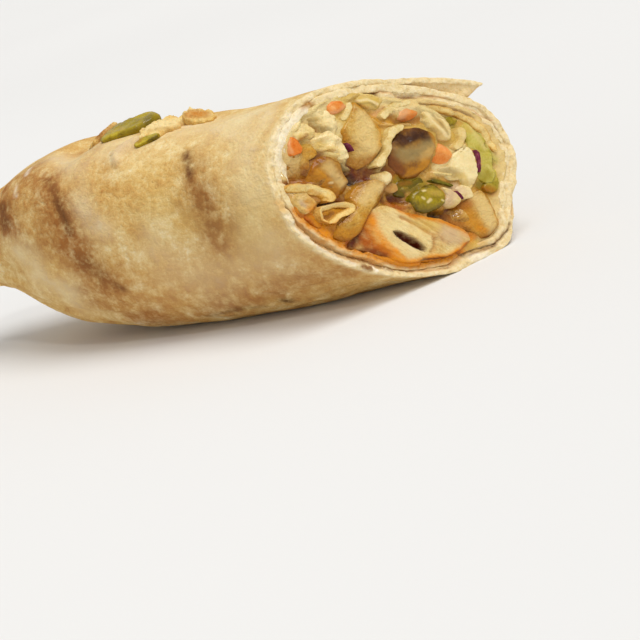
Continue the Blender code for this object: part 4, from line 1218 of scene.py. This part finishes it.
def cut_strip(name, food, front, width, line, crown=0.2, wave=0.22):
    """Section: back, up one side, over a domed front, down the other side; half width at each row."""
    base, rim, wider = STRIP_LOOKS[food]
    middle = open_curve(line, STRIP_ROWS)
    ahead = np.gradient(middle, axis=0)
    ahead /= np.hypot(*ahead.T)[:, None]
    side = np.stack([-ahead[:, 1], ahead[:, 0]], -1)
    place = in_space(middle)
    bread = food == "soft_bread"
    middle = middle + side * (wave + 0.1 * bread) * lumps(place, 1.8, 51)[:, None]
    share = np.linspace(-1.0, 1.0, STRIP_ROWS)
    half = (wider * width / 2.0 * np.sqrt(1.0 - np.abs(share) ** 8)
            * (1.0 + (0.3 - 0.12 * bread) * lumps(place, 1.6, 52) + 0.3 * bread * lumps(place, 3.4, 54)))
    across = np.r_[np.full(STRIP_WALL, -1.0), np.linspace(-1.0, 1.0, STRIP_ACROSS),
                   np.full(STRIP_WALL, 1.0)]
    u, v = (middle[:, k:k + 1] + side[:, k:k + 1] * half[:, None] * across for k in (0, 1))
    end = BACK_END - cut_x(u, v)
    top = (front + crown * (1.0 - across ** 4) + (0.25 + 0.2 * bread) * lumps(place, 2.4, 53)[:, None]
           - 0.15 + (0.12 + 0.06 * bread) * lumps(in_space(np.stack([u, v], -1)), 0.9, 55)
           + 0.5 * bread * across)
    wall = np.r_[np.linspace(1.0, 0.0, STRIP_WALL + 1)[:-1] ** 3, np.zeros(STRIP_ACROSS),
                 np.linspace(0.0, 1.0, STRIP_WALL + 1)[1:] ** 3]
    points = filling_points(u, v, top + (end - top) * wall)
    marks = face_marks(name, u, v, base, 0.0)
    marks["tone"] = np.clip(marks["tone"] + rim * np.abs(across) ** 3, 0.0, 1.0)
    return make_piece("cut_" + name, points, grid_faces(STRIP_ROWS, len(across), close_columns=True), marks)


# %% [markdown]
# ## Finishes of the foods
# All of these are moist and let light in, so they share one recipe: a colour that runs from light to
# dark with the tone on the mesh, the paint of the strokes over it, fine grain from noise, and a wet
# shine where the food is wet. The numbers are each food's own.

# %% Food materials
# slot: material, light to dark colours, roughness, glow, grain in mm, relief in mm, wetness
FINISHES = {
    # fried potato: mealy and pale inside, golden where the oil cooked it
    "fried_potato": ("deep_fried_potato", ("#ecdaa6", "#dfc382", "#cda450", "#a87620", "#6e440c"),
                     0.42, 0.12, 0.9, 0.5, 0.35),
    # potato with its skin left on and fried brown: dull, dark and uneven
    "browned_potato": ("browned_potato_skin", ("#d6bc84", "#c0994e", "#a97824", "#80500c", "#482a06"),
                       0.42, 0.1, 1.2, 0.3, 0.35),
    # grilled breast: pale moist meat that tears into fibres
    "grilled_chicken": ("grilled_chicken_breast", ("#f6ecd0", "#ebd9ac", "#d8b67c", "#b88844", "#8e5a24"),
                        0.38, 0.12, 0.8, 0.25, 0.2),
    # a scrap coated in the orange yoghurt and paprika marinade
    "marinated_chicken": ("paprika_marinade", ("#e6a848", "#dc8c24", "#cc7410", "#a85408", "#7a3404"),
                          0.4, 0.15, 0.7, 0.2, 0.3),
    # raw carrot: saturated, with paler cut edges
    "carrot": ("raw_carrot", ("#f6c498", "#f1aa6c", "#eb9348", "#df7c2c", "#bf5f16"),
               0.4, 0.2, 0.6, 0.1, 0.2),
    # pickled cucumber: olive, wet, half see-through
    "pickle": ("pickled_cucumber", ("#d6ca50", "#beb02c", "#a29410", "#7e7006", "#504602"),
               0.22, 0.2, 0.9, 0.16, 0.5),
    # shredded salad in mayonnaise: cream coloured, soft edged
    "creamy_slaw": ("dressed_slaw", ("#faf2dc", "#f2e2bc", "#e2c88e", "#c49a54", "#8a6024"),
                    0.32, 0.15, 0.9, 0.35, 0.35),
    # dressing with frying oil and marinade in it: cream to golden brown, wet
    "dressing": ("oily_dressing", ("#f0e2b6", "#dec186", "#c49848", "#926414", "#543006"),
                 0.28, 0.12, 0.8, 0.4, 0.45),
    # white cabbage: waxy, with a faint vein
    "white_cabbage": ("white_cabbage_leaf", ("#faf4e0", "#efe2c0", "#dcc792", "#ba9a58", "#866628"),
                      0.3, 0.15, 0.9, 0.25, 0.3),
    # red cabbage: near black purple skin over a white core
    "red_cabbage": ("red_cabbage_leaf", ("#c9a2ae", "#9a4f74", "#6b1c48", "#47082e", "#2c0418"),
                    0.3, 0.1, 0.5, 0.08, 0.3),
    # iceberg lettuce: pale green rib, almost white at its edge
    "lettuce": ("iceberg_lettuce", ("#e8e4b4", "#d6d288", "#c0ba5c", "#9c9228", "#6e640e"),
                0.3, 0.25, 1.2, 0.12, 0.3),
    # raw onion: glassy layers
    "onion": ("raw_onion", ("#f4ecd8", "#e2d0a8", "#c6aa74", "#9c7a42", "#6e5020"),
              0.25, 0.25, 0.9, 0.1, 0.5),
    # a fleck of parsley
    "herb": ("parsley_leaf", ("#a6a03c", "#827e26", "#605c14", "#42400a", "#2a2a04"),
             0.45, 0.05, 0.5, 0.1, 0.1),
    # inner folds of the sheet that never met the hot plate
    "soft_bread": ("unbaked_bread_fold", ("#f8ebc8", "#f0d9a4", "#e0bc7a", "#c8984c", "#a47228"),
                   0.7, 0.12, 0.7, 0.3, 0.0),
}


JUICE = "#f2e4ba"            # oil and juice that tint the whole cut
FIBRE_SHADE = "#b98a4a"      # the darker lines between the meat's fibres
FIBRE_STRETCH = (1.8, 0.3, 1.0)      # how close the fibres lie across, and how long they run


def food_finish(slot):
    """Ramp over tone + noise, then the paint; the meat also gets fibres from its own places."""
    name, codes, roughness, glow, grain_mm, relief_mm, wet = FINISHES[slot]
    finish, tree, shader = new_material(
        name, Subsurface_Weight=glow, Subsurface_Scale=0.0006, Subsurface_Radius=(1.0, 0.6, 0.35),
        Specular_IOR_Level=0.15, Coat_Weight=0.8 * wet, Coat_Roughness=0.08)
    coarse, fine = noise(tree, grain_mm * 2.5, 3.0), noise(tree, grain_mm * 0.6, 4.0)
    tone = sums(tree, (value_of(tree, "tone"), 1.0), (coarse, 0.55), (fine, 0.6), -0.575)
    look = painted(tree, ramp(tree, tone, *((0.24 * k, code) for k, code in enumerate(codes))), coarse)
    layers = [(coarse, relief_mm * 1.5), (fine, relief_mm * 0.7)]
    if slot == "grilled_chicken":
        place = add(tree, "CombineXYZ", X=value_of(tree, "across"), Y=value_of(tree, "lengthwise"))
        scaled = add(tree, "Mapping", Vector=place.outputs[0], Scale=FIBRE_STRETCH)
        fibres = add(tree, "TexNoise", Vector=scaled.outputs[0], Scale=1.0, Detail=3.0).outputs["Fac"]
        shade = add(tree, "MapRange", Value=fibres, **{"_1": 0.5, "_2": 0.75, "_3": 0.0, "_4": 0.24})
        look = blend(tree, shade.outputs[0], look, colour(FIBRE_SHADE), "MULTIPLY")
        layers.append((fibres, 0.3))
    look = blend(tree, 1.0, look, colour(JUICE), "MULTIPLY")
    tree.links.new(look, shader.inputs["Base Color"])
    tree.links.new(sums(tree, (fine, 0.3), roughness - 0.15), shader.inputs["Roughness"])
    bumps(tree, shader, *layers)
    return finish


finishes = {slot: food_finish(slot) for slot in FINISHES}

# %% Make and dress the filling
# how far the face is uneven and in what grain, how ragged the border is, and how angular
RELIEF = {"grilled_chicken": (0.2, 1.6, 0.25, 0.5), "creamy_slaw": (0.5, 1.9, 0.5, 0.3),
          "white_cabbage": (0.25, 2.2, 0.4, 0.4), "fried_potato": (0.24, 1.7, 0.15, 0.8),
          "browned_potato": (0.26, 1.6, 0.2, 0.5), "pickle": (0.12, 1.6, 0.2, 0.1),
          "carrot": (0.12, 1.8, 0.12, 0.8), "lettuce": (0.12, 1.8, 0.4, 0.3)}
for name, food, front, crown, outline in PIECES:
    shape = RELIEF.get(food, (0.12, 1.8, 0.2, 0.3))
    dress(cut_piece(name, outline, front, crown, *shape), food, finishes[food], name)
# folds that start inside the layers, and a width where the fold lies thinner than its solid
FOLD_STARTS = {"bread_fold_upper": ((-27.8, 11.4), (-26.2, 10.8)),
               "bread_fold_middle": ((-23.4, -0.9), (-24.1, 0.4))}
FOLD_WIDTHS = {"bread_fold_right": 1.0, "bread_fold_middle": 0.9}
for name, food, front, width, line in STRIPS:
    line = (*FOLD_STARTS.get(name, ()), *line)
    dress(cut_strip(name, food, front, FOLD_WIDTHS.get(name, width), line), food, finishes[food], name)

# %% [markdown]
# ## What lies between the pieces
# The gaps aren't empty: dressing, juice and small scraps fill them just behind the cut. Cream lies
# between the salad shreds, oil and marinade between the fries and the meat. So one uneven surface
# lies behind all the faces. Each stroke of paint also brings it to a level of its own, high where
# cream fills a gap and low where one looks into a hole. The dark paint in the holes and gaps is
# painted shade, beside browned crumbs under the meat. Shreds are ridges laid on it.

# %% Strokes and shreds of the dressing
DRESSING_LEVEL = -0.4        # far from all pieces, where it counts ...
FAR_WEIGHT = 0.2             # ... this much beside 1 for the level of a piece that it touches
DRESSING_TONE = 0.5
RING_POINTS = 20             # points on a piece's outline, enough to measure distances from it
# how each pigment raises or lowers the dressing, and the dark ones that have a level of their own, which in
# holes and gaps are painted shade
LEVELS = {"milk": 0.4, "cream": 0.25, "crumb": 0.1, "amber": -0.3, "paprika": -0.1, "saffron": 0.2,
          "toffee": -1.6, "umber": -2.4, "ember": -2.6, "soot": -4.5}
DEEP = ("toffee", "umber", "ember", "soot")
MEETS_BELOW = 0.6            # the dressing meets each piece this far below its front ...
MEETS_WITHIN = 1.4           # ... and takes that level within this distance
DRESSING_PAST = 0.6          # it reaches this far past the filling's room, on to the bread
DRESSING_THICKNESS = 12.0
# the dark strokes lie in holes and gaps and are painted shade, beside some browned crumbs along the meat's
# lower edge; the tan stroke inside the upper bread fold is painted shade too
STROKES["dressing"] = read_rows("""
straw 0.85 8 -14,24 0,22 12,14 22,4 24,-10
crumb 0.9 4 -27.5,7.5 -25,15 -20,21.4 -12,26.4
cream 0.95 2.6 -17,24.4 -11,27 -4,27.4 2,26.8
cream 0.95 2.2 -8,26 -7.2,22 -6.4,19.6
cream 0.9 1.6 -12.5,19.5 -9.2,17 -8.6,12.6 -9.2,9.8
straw 0.85 2.6 1,26.4 5,25.6 8.4,23.6
cream 0.95 2.6 8,22 12,20 15.5,17.5 19,14 20.6,10
milk 0.8 1.2 9.4,18.2 12.4,18 15,17.2
crumb 1 2.2 11,24 16,20.8 21,17 25.6,12.4 28.6,7 29.6,0 28.6,-7 25,-13 20.4,-18 15.6,-22.6 8,-24.4
crumb 1 1.6 15,18.4 19,16.6 22.4,14.6 25.6,11.6
leaf 0.7 1.3 26.6,7 26.8,1 26.4,-5
olive 0.7 1.5 22.4,9.6 22.6,7.6
amber 0.8 1.2 8.4,16.4 9.6,14.4 12.6,13.4 15.4,13
gold 0.7 1.6 4.6,19 5.4,16.2 7,14.6
beige 0.8 1.4 -1,7.6 3,11 6.6,13.6
blush 0.6 0.8 6,18.8 8.4,19.8
cream 0.9 1.4 -27.4,9.8 -25.4,9.6
toffee 0.85 1.4 -20.6,9.6 -18.4,6.8 -17.6,3.6
amber 0.9 1.1 -25.6,12 -22,11.8 -19.4,10.4
toffee 0.85 1 -19,12.4 -16.6,15 -13.2,15.2
paprika 1 3.4 -28,5.4 -26.4,2.6 -25.4,-0.6 -23,-4.6 -21.2,-8.6
gold 0.7 1 -24.4,4 -23,0.4 -22.6,-3
rust 0.6 0.6 -27.2,3.4 -25.8,0.4 -24.8,-2.6
gold 0.95 1.6 -22.8,1 -20,0.9 -17.4,0.5
toffee 0.55 0.7 -22.8,0.4 -21.4,0 -20.2,0.2
amber 0.8 1 -23,-3.4 -22.6,-5.6
tan 0.8 0.9 -22.2,6.6 -21.2,5.2
toffee 0.95 1.6 -17.6,4.6 -14.6,2
umber 0.95 0.6 -21.6,3.6 -20,3.5 -17.4,2.6 -15.6,1.2
ember 0.95 2.2 -8.2,8.4 -7,6.4 -5.8,5.2
soot 1 1.4 -10.6,9.2 -10.2,7 -9.4,4.8
toffee 0.8 1.6 -3.6,6 -1,5 1,3
amber 0.8 2.2 -1,1.8 2.4,0.4 5,-0.6
olive 0.9 2.2 -1.2,-0.8 1.8,-0.6 5.6,-2.2
moss 0.6 1 0,-2.4 4,-3
ember 0.95 1.6 -3.4,-2.8 -1.4,-3.8
toffee 0.8 1.2 -6.2,-2.2 -5.8,0.2
rust 0.8 1.2 -5.4,-4 -3.4,-6.2
paprika 1 2.4 -21.4,-7.8 -21,-9.6 -18,-13.4 -14,-17.6
rust 0.8 0.8 -20.2,-8 -19.8,-10.2 -17.2,-12.8
ember 0.7 0.7 -21.4,-9.4 -19.6,-11.6 -18.4,-12.4
soot 0.95 1.2 3.4,-11.6 5.2,-12.4 6.2,-13.6
soot 1 1.2 -9.8,-11.6 -9,-12.8 -7.6,-15.2 -6.4,-17.4
ember 0.9 1 7,-15.6 7.8,-18
ember 0.85 0.8 11.4,-11.9 8.4,-12
paprika 0.95 2 -12,-19.6 -4,-22.2 4,-22.4 8,-21
ember 0.8 0.6 -7.6,-21.4 -3,-23 2,-23
straw 0.7 1.3 5,-22.8 9.4,-23.2
crumb 0.9 1.8 17.6,-18.8 20.4,-15.6
amber 0.9 1.8 18.4,-10.8 21.4,-12.2
olive 0.85 1.6 19.4,-9.4 22.8,-11 23.8,-9.2
mauve 0.8 1.2 10.6,-7.4 12.6,-7.2
moss 0.8 1 9,-3.2 11.2,-5.6
cream 0.9 1.4 12,-1.2 17,1.6 20,2
ash 0.7 0.9 17.6,0.9 20.6,0.8
cream 0.85 1 -1.8,-0.6 -3.4,0.8
saffron 0.85 1.1 -25,-2.2 -23.6,-6.2 -21.8,-9.8 -18.6,-13.6 -14.8,-17 -10.6,-19.8
""")
# height of a shred, its width, and the line that it follows
SHREDS = read_rows("""
0.8 0.55 -16.2,23.8 -12.4,25.6 -9,26.6
0.8 0.5 -8.4,27.2 -5,27.6
0.9 0.6 -12.4,15.4 -9.4,12.6 -8.8,9.2
0.8 0.5 -9.8,9.8 -8.2,8.4
0.7 0.6 1.2,25.6 5.2,25.8 9,23.4
0.8 0.6 9.6,21.6 13,19.4
0.9 0.7 8.8,20 10.4,17.8 10,16.4
0.8 0.8 15.6,16.6 19,13.4 21.4,9.6
0.8 0.7 17,12 18.6,7.4
1 0.45 8.6,13.8 11,13.6 12.8,12.8
1.2 0.6 -0.6,6.4 -2.8,5.4
0.9 0.5 10.4,-1.4 13.2,-3.6
0.8 0.5 14.4,-9.6 16.6,-8.6
0.8 0.5 18.8,0.8 21.2,2
0.7 0.5 4,18.4 5.2,16 7.4,14.6
""")
print(len(STROKES["dressing"]), "strokes and", len(SHREDS), "shreds in the dressing")

# %% The dressing's surface
DRESSING_RINGS, DRESSING_TURNS = 110, 300
turns = np.linspace(0.0, FULL_TURN, DRESSING_TURNS, endpoint=False)[None, :]
share = np.linspace(0.0, 1.0, DRESSING_RINGS)[:, None]
reach = filling_radius(cut_x(0.0, 0.0), turns, 0.0) + DRESSING_PAST
u, v = share * reach * np.cos(turns), share * reach * np.sin(turns)
place = np.stack([u, v], -1)
level, total = DRESSING_LEVEL * FAR_WEIGHT + 0.0 * u, FAR_WEIGHT
for name, _, front, _, outline in PIECES:
    ring = closed_curve(outline, RING_POINTS)
    near = bell(distance_to(place, [*ring, ring[0]]), MEETS_WITHIN)
    drop = sloped(u, v, ring.mean(0), LOOKS[name][3])
    level, total = level + near * (front - drop - MEETS_BELOW), total + near
level = level / total
for stroke in STROKES["dressing"]:
    laid = lay(place, stroke)
    level = level * (1.0 - laid) + (LEVELS.get(stroke[0], 0.0) + level * (stroke[0] not in DEEP)) * laid
raised = sum(height * bell(distance_to(place, line), width) for height, width, line in SHREDS)
height = level + 0.35 * lumps(in_space(place), 2.4, 71, 3) + raised - parted(place)
# the front, then the rim and the middle again at the back, which close it
points = np.concatenate([filling_points(u[at], v[at], height[at] - back) for at, back in (
    (slice(None), 0.0), (slice(-1, None), DRESSING_THICKNESS), (slice(0, 1), DRESSING_THICKNESS))])
marks = face_marks("dressing", u, v, DRESSING_TONE, 0.0)
marks["tone"] = np.clip(marks["tone"] - 0.6 * raised, 0.0, 1.0)
marks["paint"][..., 3] *= 1.0 - 0.5 * np.clip(raised, 0.0, 1.0)
# where the layers part, the dressing is painted toffee: painted shade
dark = np.clip(parted(place), 0.0, 1.0)[..., None]
marks["paint"] = marks["paint"] * (1.0 - dark) + dark * colour(PIGMENTS["toffee"])
faces = grid_faces(len(points), DRESSING_TURNS, close_columns=True)
dressing = make_piece("dressing_between", points, faces, repeat_last(marks, 2))
dress(dressing, "creamy_slaw", finishes["dressing"])

# %% [markdown]
# ## The torn top and the tucked tip
# Where the top is torn, a slice of pickle has come out between scraps of bread. Each scrap is rings
# of shrinking size laid around the roll, so that it follows the roll. Bread scraps are crumpled, with
# ragged borders; the slices are smooth.

# %% Strokes on the torn top
# under the name of each piece: pigment, amount, width, then (mm along the roll, mm towards the front)
TOP_STROKES = read_groups("""
pickle_top
olive 0.7 5 -5,0 6,0
moss 0.6 1.6 5.4,-2 7,0.6
straw 0.3 1.2 -5,2.6 -1,3
pickle_top_small
amber 0.5 0.9 -3.2,0.4 -1.6,0.4
bread_torn_left
tan 0.8 3.2 -2,0 2,0
toast 0.7 1.2 -3,2.4 1,2.6
umber 0.85 0.7 -4,3.2 -1,3.8
bread_torn_right
milk 0.75 3 -3,1 3,-1
beige 0.6 0.9 -2,3 3,2.2
bread_flake_top
tan 0.8 2.2 -2.4,0.6 2.6,0.4
paprika 0.35 1.3 -1.6,0.6 1.4,0.4
milk 0.9 0.9 -5,2.6 -4.4,-2.4 -1,-3.2
""")
print("painted on the torn top:", ", ".join(TOP_STROKES))

# %% Make the pieces on the torn top
# how each lies on the squeezed roll: slant in degrees, share it rises to the right and to the back, growth
TOP_LIES = {"pickle_top": (6.0, 0.1, 0.4, 1.12), "pickle_top_small": (3.0, 0.0, 0.2, 1.1),
            "bread_torn_left": (4.0, 0.5, 0.2, 1.1), "bread_torn_right": (4.0, -0.3, 0.3, 1.15),
            "bread_flake_top": (-2.0, -0.55, 0.3, 1.1)}
TOP_TURNS = 120
turns = np.linspace(0.0, FULL_TURN, TOP_TURNS, endpoint=False)[None, :]
# from ring to ring outwards and back under: its size, and its height as a share of the thickness
size = np.r_[0.0, np.linspace(0.08, 0.86, 17), 0.9, 0.95, 0.98, 1.0, 1.0, 0.98, 0.9, 0.0][:, None]
rise = np.r_[np.ones(14), 0.99, 0.98, 0.96, 0.93, 0.88, 0.78, 0.62, 0.4, 0.15, -0.2, -0.5, -0.5][:, None]
for name, food, middle_x, middle_angle, half_length, half_width, thickness in TOP_PIECES:
    slant, to_right, to_back, grown = TOP_LIES[name]
    crumpled = food == "soft_bread"
    ring = np.stack([np.cos(turns), np.sin(turns), turns * 0.0 + middle_x], -1)
    blunt = (np.abs(ring[..., 0]) ** 3 + np.abs(ring[..., 1]) ** 3) ** (-1.0 / 3.0)
    ragged = (1.0 + 0.22 * lumps(ring, 0.6, 63) + 0.16 * lumps(ring, 0.22, 67) if crumpled
              else 0.94 * blunt * (1.0 + 0.08 * lumps(ring, 0.5, 64)))
    along = grown * size * ragged * half_length * np.cos(turns)
    front = (-grown * size * ragged * half_width * np.sin(turns)
             - MEAN_RADIUS * np.radians(slant) * along / half_length)
    x, angle = middle_x + along, math.radians(middle_angle) + front / MEAN_RADIUS
    place = around(x, angle)
    creases = 0.5 - np.abs(lumps(place, 1.7, 61, 3))
    bumpy = np.where(size < 0.97, 0.5 * creases if crumpled else 0.12 * lumps(place, 1.8, 61, 3), 0.0)
    lifted = 1.0 + to_right * along / half_length - to_back * front / half_width
    radius = (roll_radius(x, angle, CUT_BLEND) + (0.0 if crumpled else TOP_FOOT) - torn_dip(x, angle)
              + rise * thickness * np.where(rise > 0.0, lifted, 1.0) * (1.0 + bumpy))
    points = np.stack([x, radius * np.cos(angle), body_size(x)[2] + radius * np.sin(angle)], -1)
    rim_tone = (0.15 if crumpled else 0.35) * smooth((size - 0.8) / 0.2)
    marks = {"tone": 0.2 + 0.2 * lumps(place, 1.6, 62) + rim_tone,
             "paint": paint(np.stack([along, front], -1), TOP_STROKES[name])}
    made = make_piece("torn_" + name, points, grid_faces(*x.shape, close_columns=True), marks)
    dress(made, food, finishes[food], name)

# %% The tucked tip
TUCK_STATIONS = (-122.0, -126.0, -130.0, -135.0, -140.0, -145.0, -149.0, -150.4, -151.0)
TUCK_SHARES = (0.5, 0.7, 0.8, 0.85, 0.88, 0.86, 0.84, 0.74, 0.5)
TUCK_PLEATS = 5
TUCK_PLEAT_DEPTH = 0.12
turns = turns[:, ::3]
plug_x = np.array(TUCK_STATIONS)[:, None]
pleats = 1.0 - TUCK_PLEAT_DEPTH * (0.5 + 0.5 * np.cos(TUCK_PLEATS * turns))
radius = np.array(TUCK_SHARES)[:, None] * pleats * filling_radius(plug_x, turns, CUT_BLEND)
plug = np.stack([np.broadcast_to(plug_x, radius.shape), radius * np.cos(turns),
                 body_size(plug_x)[2] + radius * np.sin(turns)], -1)
ends = [np.broadcast_to(row.mean(0), row.shape)[None] for row in (plug[0], plug[-1])]
plug = np.concatenate([ends[0], plug, ends[1]])
marks = {"paint": np.zeros((*plug.shape[:2], 4)), "crumb": plug[..., 0] * 0.0}
tuck = make_piece("tucked_bread", plug, grid_faces(*plug.shape[:2], close_columns=True), marks)
dress(tuck, "toasted_bread", bread, "bread_tuck")

# %% [markdown]
# ## Floor, light and camera
# The roll stands on a plain pale floor under soft light from above, as in a product photo. The lens is
# long, about 100 mm, so the roll shows with little perspective. The camera also leans, because here
# the roll lies flat while the real one is propped up at its cut end.

# %% Floor
bpy.ops.mesh.primitive_plane_add(size=30.0)
floor = bpy.context.object
floor.name = "pale_floor"
paper, tree, shader = new_material("matt_white_table", Roughness=0.9)
tree.links.new(ramp(tree, noise(tree, 400.0, 1.0), (0.3, "#e3e2e0"), (0.7, "#e6e5e3")),
               shader.inputs["Base Color"])
floor.data.materials.append(paper)

# %% Lights
scene = bpy.context.scene
scene.view_settings.view_transform = "Standard"
scene.world = bpy.data.worlds.new("soft_room")
scene.world.use_nodes = True
room = scene.world.node_tree
room_light = room.nodes["Background"]
room_light.inputs["Color"].default_value = colour("#fbfaf8")
ROOM_GLOW = 0.5              # light that comes from the room
WALL_GLOW = 0.86             # the wall that the camera sees behind the floor, as pale as the floor
seen = add(room, "LightPath").outputs["Is Camera Ray"]
room.links.new(add(room, "MapRange", Value=seen, **{"_3": ROOM_GLOW, "_4": WALL_GLOW}).outputs[0],
               room_light.inputs["Strength"])
# name, direction that it comes from, strength, width in degrees
LAMPS = (("soft_box_above", (0.33, 0.0, 0.94), 1.82, 38.0),
         ("fill_from_camera", (0.7, -0.6, 0.4), 0.27, 60.0),
         ("window_glint", (0.45, -0.5, 0.85), 0.38, 6.0))
for name, towards, strength, spread in LAMPS:
    lamp = bpy.data.lights.new(name, "SUN")
    lamp.energy, lamp.angle = strength, math.radians(spread)
    holder = bpy.data.objects.new(name, lamp)
    holder.rotation_mode = "QUATERNION"
    holder.rotation_quaternion = Vector(towards).to_track_quat("Z", "Y")
    scene.collection.objects.link(holder)

# %% Camera
LENS_MM = 104.06
CAMERA_PLACE = (0.275719, -0.438802, 0.138655)
CAMERA_AXES = ((0.8589, 0.4168, -0.2970), (0.1298, 0.3837, 0.9142), (0.4951, -0.8240, 0.2756))
camera = bpy.data.objects.new("camera", bpy.data.cameras.new("camera"))
camera.data.lens, camera.data.sensor_width = LENS_MM, 36.0
camera.matrix_world = Matrix.Translation(CAMERA_PLACE) @ Matrix(CAMERA_AXES).transposed().to_4x4()
scene.collection.objects.link(camera)
scene.camera = camera
